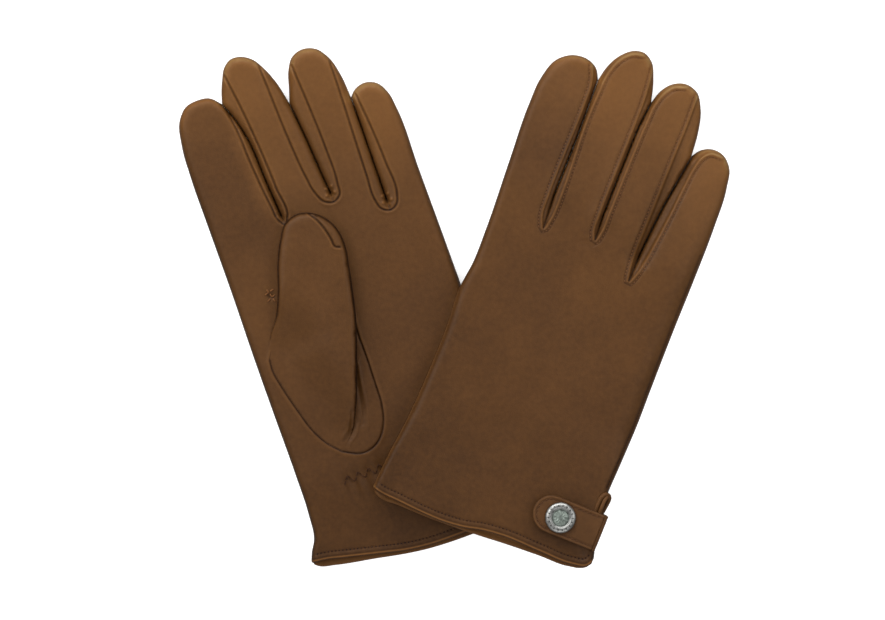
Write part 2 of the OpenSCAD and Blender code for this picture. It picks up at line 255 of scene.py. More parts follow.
def bell(x, width):
    """1 at 0, falling away smoothly on both sides."""
    return np.exp(-((x / width) ** 2))


def resample(line, step):
    """The same line in even steps."""
    line = np.asarray(line, float)
    along = np.concatenate([[0], np.cumsum(np.linalg.norm(np.diff(line, axis=0), axis=1))])
    at = np.linspace(0, along[-1], max(int(round(along[-1] / step)), 1) + 1)
    return np.column_stack([np.interp(at, along, line[:, k]) for k in range(line.shape[1])])


def spline(points, step):
    """A smooth curve through the points, in even steps."""
    p = np.asarray(points, float)
    chord = np.linalg.norm(np.diff(p, axis=0), axis=1)
    t = np.concatenate([[0], np.cumsum(chord)])
    slope = np.diff(p, axis=0) / chord[:, None]
    m = np.empty_like(p)
    m[0], m[-1] = slope[0], slope[-1]
    pair = chord[1:] + chord[:-1]
    m[1:-1] = (slope[:-1] * chord[1:, None] + slope[1:] * chord[:-1, None]) / pair[:, None]
    at = np.linspace(0, t[-1], int(t[-1] / 0.3) + 2)
    k = np.clip(np.searchsorted(t, at, side="right") - 1, 0, len(chord) - 1)
    h = chord[k][:, None]
    u = (at - t[k])[:, None] / h
    curve = ((2 * u**3 - 3 * u**2 + 1) * p[k] + (u**3 - 2 * u**2 + u) * h * m[k]
             + (3 * u**2 - 2 * u**3) * p[k + 1] + (u**3 - u**2) * h * m[k + 1])
    return resample(curve, step)


def nearest(points, line):
    """Each point's distance to a line, its side (+1 to the line's left), and how far along it is."""
    best = np.full(len(points), 1e9)
    side = np.ones(len(points))
    along = np.zeros(len(points))
    start = 0.0
    for a, b in zip(line[:-1], line[1:]):
        ab = b - a
        length = math.hypot(*ab)
        if length < 1e-9:
            continue
        q = points - a
        t = np.clip(q @ ab / length**2, 0, 1)
        d = np.hypot(q[:, 0] - t * ab[0], q[:, 1] - t * ab[1])
        closer = d < best
        best[closer] = d[closer]
        side[closer] = np.where(ab[0] * q[closer, 1] - ab[1] * q[closer, 0] >= 0, 1, -1)
        along[closer] = start + t[closer] * length
        start += length
    return best, side, along


def inside(points, loop):
    """Which points lie inside a closed outline."""
    odd = np.zeros(len(points), bool)
    x, y = points[:, 0], points[:, 1]
    for (x1, y1), (x2, y2) in zip(loop, np.roll(loop, -1, axis=0)):
        if y1 == y2:
            continue
        crosses = (y1 > y) != (y2 > y)
        odd ^= crosses & (x < (x2 - x1) * (y - y1) / (y2 - y1) + x1)
    return odd


def beside(line, offset, step):
    """A row of points beside a line, to its left where offset is positive."""
    line = resample(line, step)
    tangent = np.gradient(line, axis=0)
    tangent /= np.maximum(np.linalg.norm(tangent, axis=1), 1e-9)[:, None]
    return line + offset * np.column_stack([-tangent[:, 1], tangent[:, 0]])


def distance(points, line):
    return nearest(points, line)[0]


def depth_inside(points, loop):
    """Distance to a closed outline, below 0 outside it."""
    return distance(points, loop) * np.where(inside(points, loop), 1, -1)


def clear_of(points, line, least):
    """The points that keep a least distance from a line."""
    return points[distance(points, line) >= least]


def ringed(loop):
    """A closed outline as a line that ends where it starts."""
    return np.vstack([loop, loop[:1]])


# ---- one glove's lines ----
def offset_seam(crease, tail, offsets):
    """The seam round a crease on the side of the glove that lies out of sight."""
    crease = resample(crease, 8)
    down = crease[1:-1] - [offsets[0], 0]
    up = crease[1:-1][::-1] + [offsets[1], 0]
    tail = np.array(tail)
    low = [tail + [-offsets[0] * 0.5, 2.0], tail, tail + [offsets[1] * 0.5, 2.0]]
    return spline(np.vstack([down, low, up]), SEAM_STEP)


def glove_lines(shape):
    """All of a glove's outlines, seams and rows, as dense smooth lines."""
    lines = {"creases": [spline(c, EDGE_STEP) for c in shape["creases"]]}
    radial, ulnar = spline(shape["radial"], EDGE_STEP), spline(shape["ulnar"], EDGE_STEP)
    arcs = [radial] + [spline(a, EDGE_STEP) for a in shape["arcs"]] + [ulnar]
    slits = []
    for crease in lines["creases"]:
        width = SLIT * ease((crease[:, 1] - crease[-1, 1]) / 6)[:, None] * [1, 0]
        slits.append(np.vstack([crease - width, (crease + width)[-2::-1]]))
    for k, slit in enumerate(slits):
        arcs[k][-1] = slit[0]
        arcs[k + 1][0] = slit[-1]
    lines["arcs"], lines["slits"] = arcs, slits
    edge = [arcs[0]]
    for k, slit in enumerate(slits):
        edge += [slit[1:-1], arcs[k + 1]]
    lines["edge"] = np.vstack(edge)
    lines["hems"] = {s: spline(h, HEM_STEP) for s, h in shape["hems"].items()}
    lines["tails"] = {
        s: [resample(np.array([c[-1], t]), 0.7) for c, t in zip(lines["creases"], tails)]
        for s, tails in shape["tails"].items()
    }
    lines["seams"] = {s: [spline(p, SEAM_STEP) for p in seams] for s, seams in shape["seams"].items()}
    for s, offsets in shape["offsets"].items():
        tails = shape["tails"][s]
        lines["seams"][s] = [offset_seam(c, t, offsets) for c, t in zip(lines["creases"], tails)]
    low = ulnar[(ulnar[:, 1] > 40) & (ulnar[:, 1] < shape["roots"][3] + 12)][::-1]
    lines["side_seam"] = beside(low[low[:, 0] > 45], 1.7, SEAM_STEP)
    for name in ("thumb_base", "thumb_free", "gusset"):
        lines[name] = spline(shape[name], EDGE_STEP)
    lines["thumb_seam"] = np.vstack([lines["thumb_base"], lines["gusset"][1:]])
    return lines


LINES = {side: glove_lines(SHAPES[side]) for side in SIDES}


# ---- heights ----
def uneven(points, size, height, seed):
    """Soft unevenness of the hide, from smooth noise with lumps of about that size."""
    return height * np.array([noise.noise(Vector((x / size, y / size, seed))) for x, y in points])


def squared(x):
    """Like dome, but level sooner: the edge of a flat folded hide."""
    return (1 - (1 - np.clip(x, 0, 1)) ** 2.6) ** (1 / 2.6)


def lapped_relief(s):
    """Across a lapped seam: a raised edge with a stitched channel behind it, and a step down past it."""
    edge = 0.36 * bell(s + 0.65, 0.5) - 0.3 * bell(s + SEAM_INSET, 0.42)
    return np.where(s > 0, -0.75 * ease(s / 0.45) + 0.36 * bell(0.65, 0.5) * (1 - ease(s / 0.45)), edge)


def pressed_relief(s):
    """Across a seam sewn inside out: a narrow groove between two soft swells."""
    return -0.7 * bell(s, 0.4) + 0.3 * bell(np.abs(s) - 1.2, 0.7)


# How strong the puckers are in the three gaps between fingers, and the star of stitches beside the left thumb
PUCKERS = (0.25, 1.0, 1.0)
TACK = np.array([-36.0, 136.8])


def relief(side, face, points, edge_distance):
    """How far one face stands out from its smooth shape, in millimetres."""
    lines = LINES[side]
    out = np.zeros(len(points))
    fade = ease(edge_distance / 0.9)
    for seam in lines["seams"][face]:
        d, way, along = nearest(points, seam)
        near = d < 5
        s = d[near] * way[near]
        shape = lapped_relief(s) if face == "back" else pressed_relief(s)
        if face == "back":
            shape += 0.12 * bell(s + SEAM_INSET, 0.7) * np.cos(2 * math.pi * along[near] / SEAM_PITCH)
        out[near] += shape * fade[near] * ease((5 - d[near]) / 2)
    if face == "palm":
        for tail, size in zip(lines["tails"][face], PUCKERS):
            out += 1.3 * size * crumple(points - tail[0]) * fade
    if face == "back":
        side_seam = lines["side_seam"]
        fading = ease((side_seam[-1, 1] - points[:, 1]) / 15)
        out -= 0.55 * bell(distance(points, side_seam), 0.45) * fading
    hem = distance(points, lines["hems"][face])
    out -= (0.24 * bell(hem - HEM_STITCH, 0.6) - 0.15 * bell(hem - 1.4, 0.8)) * fade
    if face == "palm":
        s = depth_inside(points, lines["thumb_seam"])
        out += 0.35 * bell(s + 0.9, 0.6) - 1.9 * ease((s + 0.15) / 1.3)
        out += gathers(points)
        if side == "left":
            out -= 0.7 * bell(np.hypot(*(points - TACK).T), 1.5)
    return out


def crumple(points):
    """The small folds that bunch up where the leather between two fingers is sewn in."""
    folds = [(-2.0, -1.0, 0.75), (0.1, -2.2, 0.8), (2.1, -0.6, 0.7), (-1.2, 2.2, 0.6), (1.4, 2.6, 0.6)]
    return sum(bell(np.hypot(points[:, 0] - x, points[:, 1] - y), r) for x, y, r in folds)


def gathers(points):
    """Puckers above and below the elastic that gathers the wrist from inside the palm."""
    x, y = points[:, 0], points[:, 1]
    reach = ease((x + 40) / 8) * ease((36 - x) / 8)
    folds = np.sin(2 * math.pi * x / 6.1 + 0.9 * np.sin(x / 5.3)) * (0.4 + 0.2 * np.sin(x / 7.7))
    fine = 0.22 * np.sin(2 * math.pi * (x + 0.3 * y) / 2.7) * bell(y - 39, 4)
    return reach * (bell(y - 38, 9) * folds + fine - 0.7 * bell(y - 39, 4.5))


# The raised right glove leaves the left one at a line across its palm, PILE_SLOPE * x + y = PILE_START, where
# PILE_SCALE makes the distance to it millimetres. DROOP is how far its fingertips sink to the table.
PILE_SLOPE = 1.09
PILE_START = 48.7
PILE_SCALE = 1.48
DROOP = 13.15


def sag(side, face, points, edge_distance):
    """How far one face lies from its frame: the raised glove sinks to the table, and cuffs lie flatter."""
    x, y = points[:, 0], points[:, 1]
    cuff = 1 - ease((y - 4) / 44)
    near_edge = 1 - ease(edge_distance / 9)
    if side == "left":
        depth = {"back": 0 * x, "palm": -4.2 * cuff}
        return depth[face] * (1 - near_edge) - 2.4 * cuff * near_edge
    off_pile = (PILE_SLOPE * x + y - PILE_START) / PILE_SCALE
    hand = ease((off_pile - 6) / 60) * ease((y - 44) / 26)
    depth = {"back": 3.2 * hand, "palm": 9.8 * ease((x - 2) / 24) * hand - 4.6 * cuff}
    both = (depth["back"] + depth["palm"]) / 2
    creases = LINES[side]["creases"]
    bounds = [np.interp(y, c[::-1, 1], c[::-1, 0]) for c in creases]
    finger = sum((x > b).astype(int) for b in bounds)
    root = np.array(SHAPES[side]["roots"], float)[finger]
    reach = np.array([c[:, 1].max() for c in LINES[side]["arcs"]])[finger]
    droop = np.clip((y - root) / (reach - root - 6), 0, 1) ** 1.25
    lie = depth[face] * (1 - near_edge) + both * near_edge
    return lie * (1 - droop) + DROOP * droop


def face_z(side, face, points):
    """Height of one face of a glove, palm up."""
    points = np.asarray(points, float)
    lines = LINES[side]
    outer = np.min([distance(points, a) for a in lines["arcs"]], axis=0)
    slit = np.min([distance(points, s) for s in lines["slits"]], axis=0)
    outer[outer < ON_EDGE] = 0
    slit[slit < ON_EDGE] = 0
    slit_roll = SLIT_ROLL[face]
    edge = np.minimum(outer, slit)
    valley = slit
    for tail in lines["tails"][face]:
        d, _, along = nearest(points, tail)
        gone = np.clip(along / np.linalg.norm(tail[-1] - tail[0]), 0, 1)
        valley = np.minimum(valley, d + slit_roll * (1 - np.sqrt(1 - gone**2)))
    out = MID_Z * squared(outer / EDGE_ROLL) * dome(valley / slit_roll) * (0.9 + 0.1 * ease(slit / 7))
    settle = ease(edge / 6)
    out = out + relief(side, face, points, edge)
    out += settle * (uneven(points, 34, 0.5, 3.1) + uneven(points, 13, 0.16, 7.7))
    if face == SHAPES[side]["upper"]:
        out += settle * uneven(points, 4.2, 0.035, 11.3)
    x, y = points[:, 0], points[:, 1]
    if side == "left" and face == "back":
        under = ease((x - 15) / 4) * ease((11.5 - np.abs(y - FOLD[1])) / 3) * ease(edge / 2)
        out = out * (1 - under) + (MID_Z - STRAP_RECESS) * under
    z = (MID_Z + out if face == "palm" else MID_Z - out) + sag(side, face, points, edge)
    table = TABLE_GAP if side == "left" else PLACES[side][3] - TABLE_GAP
    return np.maximum(z, table) if side == "left" else np.minimum(z, table)


# ---- meshes ----
def add_rows(kept, cells, rows, gap):
    """Adds points to the list unless one that is already there is nearer than the gap."""
    for x, y in rows:
        cx, cy = int(x // CELL), int(y // CELL)
        places = [(i, j) for i in (cx - 1, cx, cx + 1) for j in (cy - 1, cy, cy + 1)]
        others = (q for at in places for q in cells.get(at, ()))
        if not any((x - qx) ** 2 + (y - qy) ** 2 < gap * gap for qx, qy in others):
            cells.setdefault((cx, cy), []).append((x, y))
            kept.append((x, y))


def triangulate(loop, cuts, rows, field_step):
    """Triangles over a closed outline, with edges along the cuts and denser points along the rows."""
    closed = ringed(loop)
    kept, cells = [], {}
    add_rows(kept, cells, loop, 0.0)
    edges = [(k, (k + 1) % len(loop)) for k in range(len(loop))]
    for cut in cuts:
        cut = clear_of(cut[inside(cut, loop)], closed, 0.35)
        if len(cut) < 2:
            continue
        first = len(kept)
        add_rows(kept, cells, cut, 0.15)
        edges += [(k, k + 1) for k in range(first, len(kept) - 1)]
    for row, gap in rows:
        add_rows(kept, cells, clear_of(row[inside(row, loop)], closed, gap * 0.55), gap)
    low, high = loop.min(0), loop.max(0)
    xs = np.arange(low[0], high[0], field_step)
    ys = np.arange(low[1], high[1], field_step * 0.87)
    field = np.array([(x + (k % 2) * field_step / 2, y) for k, y in enumerate(ys) for x in xs])
    field = field[inside(field, loop)]
    add_rows(kept, cells, clear_of(field, closed, field_step * 0.6), field_step * 0.72)
    result = delaunay_2d_cdt([Vector(p) for p in kept], edges, [], 0, 1e-5)
    verts = np.array([(v.x, v.y) for v in result[0]])
    tris = np.array([f for f in result[2] if len(f) == 3])
    centre = verts[tris].mean(axis=1)
    return verts, tris[inside(centre, loop)]


class Soup:
    """Meshes that meet share their points here, so that pieces cut from it shade as one surface."""

    def __init__(self):
        self.points, self.tris, self.labels, self.count = [], [], [], 0

    def add(self, points, tris, labels):
        self.points.append(points)
        self.tris.append(tris + self.count)
        self.labels.extend(labels)
        self.count += len(points)

    def weld(self):
        points = np.vstack(self.points)
        tris = np.vstack(self.tris)
        _, first, inverse = np.unique(np.round(points, 3), axis=0, return_index=True, return_inverse=True)
        self.points = points[first]
        tris = inverse.reshape(-1)[tris]
        good = (tris[:, 0] != tris[:, 1]) & (tris[:, 1] != tris[:, 2]) & (tris[:, 0] != tris[:, 2])
        self.tris, self.labels = tris[good], np.array(self.labels)[good]
        a, b, c = (self.points[self.tris[:, k]] for k in range(3))
        face_normal = np.cross(b - a, c - a)
        self.normals = np.zeros_like(self.points)
        for k in range(3):
            np.add.at(self.normals, self.tris[:, k], face_normal)
        self.normals /= np.maximum(np.linalg.norm(self.normals, axis=1), 1e-12)[:, None]

    def cut(self, label):
        chosen = self.tris[self.labels == label]
        used, inverse = np.unique(chosen, return_inverse=True)
        return self.points[used], inverse.reshape(-1, 3), self.normals[used]


def ring_faces(rings, n, capped=True):
    """Faces between rings of n points each, closed off at both ends where they're capped."""
    around = [(k, (k + 1) % n) for k in range(n)]
    starts = range(0, (rings - 1) * n, n)
    faces = [(r + a, r + b, r + b + n, r + a + n) for r in starts for a, b in around]
    if capped:
        faces.append(tuple(range(n - 1, -1, -1)))
        faces.append(tuple(range((rings - 1) * n, rings * n)))
    return faces


def shell(*surfaces):
    """Surfaces welded where they meet: their points, triangles and normals."""
    soup = Soup()
    for points, tris in surfaces:
        soup.add(points, tris, ["shell"] * len(tris))
    soup.weld()
    return soup.cut("shell")


def smooth_normals(points, faces):
    """A normal for each point, from the faces round it."""
    normals = np.zeros_like(points)
    for face in faces:
        corners = points[list(face)]
        across = np.cross(corners[1] - corners[0], corners[2] - corners[0])
        if len(face) == 4:
            across = np.cross(corners[2] - corners[0], corners[3] - corners[1])
        normals[list(face)] += across
    return normals / np.maximum(np.linalg.norm(normals, axis=1), 1e-12)[:, None]


def mesh_object(side, name, parts, replaces=()):
    """One piece from parts, each (points, faces, normals or None, tone, material), palm up in millimetres.
    Faces point outwards as drawn, and are turned over with the glove."""
    flip = side == "right"
    c, s, _, _ = PLACES[side]
    points, faces, normals, tones, slots, materials = [], [], [], [], [], []
    count = 0
    for part_points, part_faces, part_normals, tone, material in parts:
        part_points = np.asarray(part_points, float)
        if part_normals is None:
            part_normals = smooth_normals(part_points, part_faces)
        points.append(part_points)
        normals.append(part_normals)
        tones.append(np.broadcast_to(tone, (len(part_points),)))
        if material not in materials:
            materials.append(material)
        for face in part_faces:
            face = [int(k) + count for k in face]
            faces.append(face[::-1] if flip else face)
            slots.append(materials.index(material))
        count += len(part_points)
    mesh = bpy.data.meshes.new(name)
    mesh.from_pydata(place(side, np.vstack(points)).tolist(), [], faces)
    mesh.update()
    mesh.shade_smooth()
    n = np.vstack(normals)
    z = -n[:, 2] if flip else n[:, 2]
    turned = np.column_stack([c * n[:, 0] - s * n[:, 1], s * n[:, 0] + c * n[:, 1], z])
    mesh.normals_split_custom_set_from_vertices(turned.tolist())
    tone = mesh.attributes.new("tone", "FLOAT", "POINT")
    tone.data.foreach_set("value", np.concatenate(tones).astype(np.float32))
    for material in materials:
        mesh.materials.append(material)
    mesh.polygons.foreach_set("material_index", slots)
    obj = bpy.data.objects.new(f"{side}_{name}", mesh)
    bpy.context.scene.collection.objects.link(obj)
    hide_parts(*[f"{side}_{node}" for node in replaces or (name,)])
    return obj


# Tones painted into the hide: its own, how much the fingertips are lighter (painted light from above), the
# little finger lighter and the index finger darker, and how light the painted highlights on the rims are
HIDE_TONE = 0.46
TIP_TONE = {"left": 0.18, "right": 0.26}
LITTLE_TONE = 0.1
INDEX_SHADE = {"left": 0.2, "right": 0.15}
TIP_HIGHLIGHT = 0.42
CUFF_HIGHLIGHT = 0.6
HEM_HIGHLIGHT = 0.62


def tone_of(side, face, points):
    """How light the hide is coloured, light and shade painted in: lighter at the fingertips and on raised
    edges, darker in the seams.
    """
    lines = LINES[side]
    x, y = points[:, 0], points[:, 1]
    # Painted light: the hide grows lighter towards the fingertips, as if lit from above
    tone = HIDE_TONE + 0.001 * (y - 120) + TIP_TONE[side] * ease((y - 150) / 90) ** 1.5
    across = LITTLE_TONE * ease((x - 28) / 10) - INDEX_SHADE[side] * ease((-22 - x) / 8)
    tone += across * ease((y - 150) / 40)
    if face is None:
        return tone
    # Along the seams: on the back a light lapped edge, partly the cut edge's own lighter colour and partly a
    # painted highlight, with painted shade past its step and in the stitched channel; on the palm painted
    # shade in the groove and painted highlights on the swells beside it
    for seam in lines["seams"][face]:
        d, way, _ = nearest(points, seam)
        s = d * way
        if face == "back":
            tone += 0.3 * bell(s + 0.15, 0.26) - 0.16 * bell(s - 0.6, 0.4) - 0.26 * bell(s + SEAM_INSET, 0.45)
        else:
            tone += -0.42 * bell(s, 0.38) + 0.18 * bell(np.abs(s) - 0.9, 0.45)
    # Painted shade along the creases below the gaps between fingers, and painted highlights on the puckers
    # there
    for tail, size in zip(lines["tails"][face], PUCKERS):
        tone -= 0.3 * bell(distance(points, tail), 0.35)
        if face == "palm":
            tone += 0.45 * size * crumple(points - tail[0])
    # Painted shade in the side seam's groove
    if face == "back":
        tone -= 0.35 * bell(distance(points, lines["side_seam"]), 0.4)
    if face == "palm":
        # Painted highlight on the lip beside the thumb's seam, and painted shade in the seam
        d = depth_inside(points, lines["thumb_seam"])
        tone += 0.16 * bell(d + 0.9, 0.5) - 0.3 * bell(d, 0.4)
        if side == "left":
            # Painted shade in the dimple round the tack
            tone -= 0.3 * bell(np.hypot(*(points - TACK).T), 1.3)
    hem = distance(points, lines["hems"][face])
    # Painted highlight on the hem's roll, painted shade just inside it and along the stitched row
    tone += HEM_HIGHLIGHT * bell(hem, 0.36) - 0.2 * bell(hem - 0.9, 0.3) - 0.05 * bell(hem - HEM_STITCH, 0.5)
    outer = np.min([distance(points, a) for a in lines["arcs"]], axis=0)
    # Painted shade along the outline, where the sides turn away from the light
    tone -= 0.16 * bell(outer, 0.7) * ease((205 - y) / 30)
    # Painted highlights on the shoulder of each fingertip, and on the right cuff's index-finger edge
    for arc in lines["arcs"]:
        d = distance(points, arc)
        tone += TIP_HIGHLIGHT * d * np.exp(1 - d) * ease((y - arc[:, 1].max() + 17) / 15)
    if side == "right":
        # Painted highlight along the right glove's index-finger edge, with a little painted shade just inside
        # it
        rim_highlight = CUFF_HIGHLIGHT * bell(outer, 0.5) - 0.04 * bell(outer - 2.2, 1.1)
        tone += rim_highlight * ease((112 - y) / 20) * (x < 0)
    return tone


# ---- materials ----
# The ramp's stops end at 1, so tones are scaled to leave room above the usual light one, for the golden
# colour of the painted highlights
TONE_SCALE = 0.6
# How fine the hide's textures are
MOTTLE = 28
SHEEN = 160
SPECKS = 420
CREASES = 520
PORES = 1150


def plain_material(name):
    """A new material, with its nodes, its links and its shader."""
    material = bpy.data.materials.new(name)
    material.use_nodes = True
    nodes = material.node_tree.nodes
    return material, nodes, material.node_tree.links, nodes["Principled BSDF"]


def leather(name, dark, light, roughness=0.5, grain=1.0, rim_highlight=None):
    """Dyed hide with light and shade painted in: its colour follows the piece's tone, with mottling, and fine
    creased grain in the bump.
    """
    material, nodes, links, shader = plain_material(name)
    where = nodes.new("ShaderNodeTexCoord").outputs["Object"]

    def noise_at(scale, detail):
        node = nodes.new("ShaderNodeTexNoise")
        node.inputs["Scale"].default_value = scale
        node.inputs["Detail"].default_value = detail
        node.inputs["Roughness"].default_value = 0.55
        links.new(where, node.inputs["Vector"])
        return node.outputs["Fac"]

    def maths(operation, a, b):
        node = nodes.new("ShaderNodeMath")
        node.operation = operation
        for socket, value in zip(node.inputs, (a, b)):
            if isinstance(value, float):
                socket.default_value = value
            else:
                links.new(value, socket)
        return node.outputs[0]

    tone = nodes.new("ShaderNodeAttribute")
    tone.attribute_name = "tone"
    mottle = maths("MULTIPLY", maths("SUBTRACT", noise_at(MOTTLE, 4), 0.5), 0.34)
    speck = maths("MULTIPLY", maths("SUBTRACT", noise_at(SPECKS, 2), 0.5), 0.22)
    level = maths("ADD", maths("ADD", tone.outputs["Fac"], mottle), speck)
    ramp = nodes.new("ShaderNodeValToRGB")
    stops = ramp.color_ramp.elements
    stops[0].position = 0.05 * TONE_SCALE
    stops[0].color = (*dark, 1)
    stops[1].position = 0.95 * TONE_SCALE
    stops[1].color = (*light, 1)
    stops.new(1.5 * TONE_SCALE).color = (*(rim_highlight or light), 1)
    links.new(maths("MULTIPLY", level, TONE_SCALE), ramp.inputs[0])
    links.new(ramp.outputs[0], shader.inputs["Base Color"])
    shader.inputs["Specular IOR Level"].default_value = 0.13
    spread = maths("ADD", maths("MULTIPLY", noise_at(SHEEN, 3), 0.16), roughness - 0.08)
    links.new(spread, shader.inputs["Roughness"])

    pores = nodes.new("ShaderNodeTexVoronoi")
    pores.feature = "DISTANCE_TO_EDGE"
    pores.inputs["Scale"].default_value = PORES
    links.new(where, pores.inputs["Vector"])
    height = maths("ADD", maths("MULTIPLY", maths("MINIMUM", pores.outputs["Distance"], 0.22), 0.9),
                   maths("MULTIPLY", noise_at(CREASES, 3), 0.5))
    bump = nodes.new("ShaderNodeBump")
    bump.inputs["Strength"].default_value = 0.35 * grain
    bump.inputs["Distance"].default_value = 0.00022
    links.new(height, bump.inputs["Height"])
    links.new(bump.outputs[0], shader.inputs["Normal"])
    return material


HIDE = leather("glove_hide", (0.011, 0.0035, 0.0009), (0.141, 0.059, 0.0152), rim_highlight=(0.25, 0.15, 0.055))
TRIM = leather("edge_hide", (0.011, 0.0036, 0.001), (0.14, 0.060, 0.0178))
THREAD = leather("thread", (0.012, 0.003, 0.001), (0.17, 0.068, 0.022), roughness=0.6, grain=0.3)
ELASTIC = leather("elastic_tape", (0.10, 0.06, 0.03), (0.30, 0.21, 0.13), roughness=0.8, grain=0.5)
LINING = leather("flesh_side", (0.04, 0.018, 0.007), (0.17, 0.085, 0.034), roughness=0.8, grain=0.6)


def metal(name, colour, roughness):
    """Nickel plate with fine turned scratches and a little tarnish."""
    material, nodes, links, shader = plain_material(name)
    shader.inputs["Metallic"].default_value = 1.0
    where = nodes.new("ShaderNodeTexCoord").outputs["Object"]
    cloud = nodes.new("ShaderNodeTexNoise")
    cloud.inputs["Scale"].default_value = 700
    cloud.inputs["Detail"].default_value = 4
    links.new(where, cloud.inputs["Vector"])
    ramp = nodes.new("ShaderNodeValToRGB")
    ramp.color_ramp.elements[0].color = (*[c * 0.55 for c in colour], 1)
    ramp.color_ramp.elements[1].color = (*colour, 1)
    ramp.color_ramp.elements[0].position = 0.3
    ramp.color_ramp.elements[1].position = 0.62
    links.new(cloud.outputs["Fac"], ramp.inputs[0])
    links.new(ramp.outputs[0], shader.inputs["Base Color"])
    spread = nodes.new("ShaderNodeMath")
    spread.operation = "MULTIPLY_ADD"
    spread.inputs[1].default_value = 0.2
    spread.inputs[2].default_value = roughness - 0.1
    links.new(cloud.outputs["Fac"], spread.inputs[0])
    links.new(spread.outputs[0], shader.inputs["Roughness"])
    bump = nodes.new("ShaderNodeBump")
    bump.inputs["Strength"].default_value = 0.25
    bump.inputs["Distance"].default_value = 0.0001
    links.new(cloud.outputs["Fac"], bump.inputs["Height"])
    links.new(bump.outputs[0], shader.inputs["Normal"])
    return material


RIM_METAL = metal("snap_rim", (0.34, 0.34, 0.325), 0.38)
CENTRE_METAL = metal("snap_centre", (0.27, 0.31, 0.275), 0.42)
MARK_METAL = metal("snap_mark", (0.06, 0.06, 0.055), 0.5)


# ---- thread ----
BEAD_SIDES = 6
BEAD_RINGS = (-1, -0.8, -0.35, 0.35, 0.8, 1)


def bead(start, end, up, radius, lift, sink):
    """One stitch between two points: a thread that rises out of the hide and dips back into it."""
    axis = end - start
    length = np.linalg.norm(axis)
    axis = axis / length
    across = np.cross(axis, up)
    across /= np.linalg.norm(across)
    high = np.cross(across, axis)
    points = []
    for t in BEAD_RINGS:
        middle = (start + end) / 2 + axis * (t * length / 2) + high * (lift - sink * t**4)
        r = radius * math.sqrt(max(1 - abs(t) ** 3, 0.06))
        for k in range(BEAD_SIDES):
            a = math.pi * k / 3
            points.append(middle + r * (math.cos(a) * across + math.sin(a) * high))
    return np.array(points), ring_faces(len(BEAD_RINGS), BEAD_SIDES)


def stitched(side, face, line, pitch, share, radius=0.27, lift=0.16, sink=0.42):
    """A row of stitches along a line in the plane, lying on one face of a glove."""
    line = resample(line, pitch)
    if len(line) < 2:
        return [], []
    run = np.diff(line, axis=0)
    length = np.linalg.norm(run, axis=1)[:, None]
    run = run / length
    middle = (line[1:] + line[:-1]) / 2
    half = run * pitch * share / 2
    ends = [middle - half, middle + half]
    heights = [face_z(side, face, e) for e in ends]
    up = np.array([0, 0, 1.0 if face == "palm" else -1.0])
    stitches = []
    for k in range(len(middle)):
        a = np.array([*ends[0][k], heights[0][k]])
        b = np.array([*ends[1][k], heights[1][k]])
        stitches.append(bead(a, b, up, radius, lift, sink))
    return middle, stitches


def gathered(stitches):
    """Many small meshes as one."""
    points, faces, count = [], [], 0
    for p, f in stitches:
        points.append(p)
        faces += [tuple(k + count for k in face) for face in f]
        count += len(p)
    return np.vstack(points), faces


def sewn(stitches, tone, material=None):
    """Many small meshes as one part of a piece."""
    return (*gathered(stitches), None, tone, material or THREAD)


# ---- the gloves ----
ROOT_START = 4
HEM_BAND = 4.5
FACING_DEPTH = 26
HEM_ROLL = 0.85
HEM_BULGE = 1.1
FINGER_START = ROOT_START + 2


def oriented(points, tris, upward=True):
    """The triangles, turned so that they all face up, or all face down."""
    a, b, c = (points[tris[:, k]] for k in range(3))
    turn = (b[:, 0] - a[:, 0]) * (c[:, 1] - a[:, 1]) - (b[:, 1] - a[:, 1]) * (c[:, 0] - a[:, 0])
    wrong = (turn > 0) != upward
    tris[wrong] = tris[wrong][:, ::-1]
    return tris


EDGE_ROWS = (0.25, 0.7, 1.3, 2.1, 3.1, 4.4, 6.0)


def edge_rows(line, offsets, way=1):
    """Rows of points beside an edge, closest together next to it."""
    return [(beside(line, way * d, 1.3 + 0.1 * d), 0.25 + 0.13 * d) for d in offsets]


def even_rows(line, offsets, step, gap):
    """Rows of points beside a line, all as dense as each other."""
    return [(beside(line, d, step), gap) for d in offsets]


def patch_row(middle, step, across, up, gap):
    """A grid of points round one point."""
    grid = [middle + [i * step, j * step] for i in range(-across, across + 1) for j in range(-up, up + 1)]
    return np.array(grid), gap


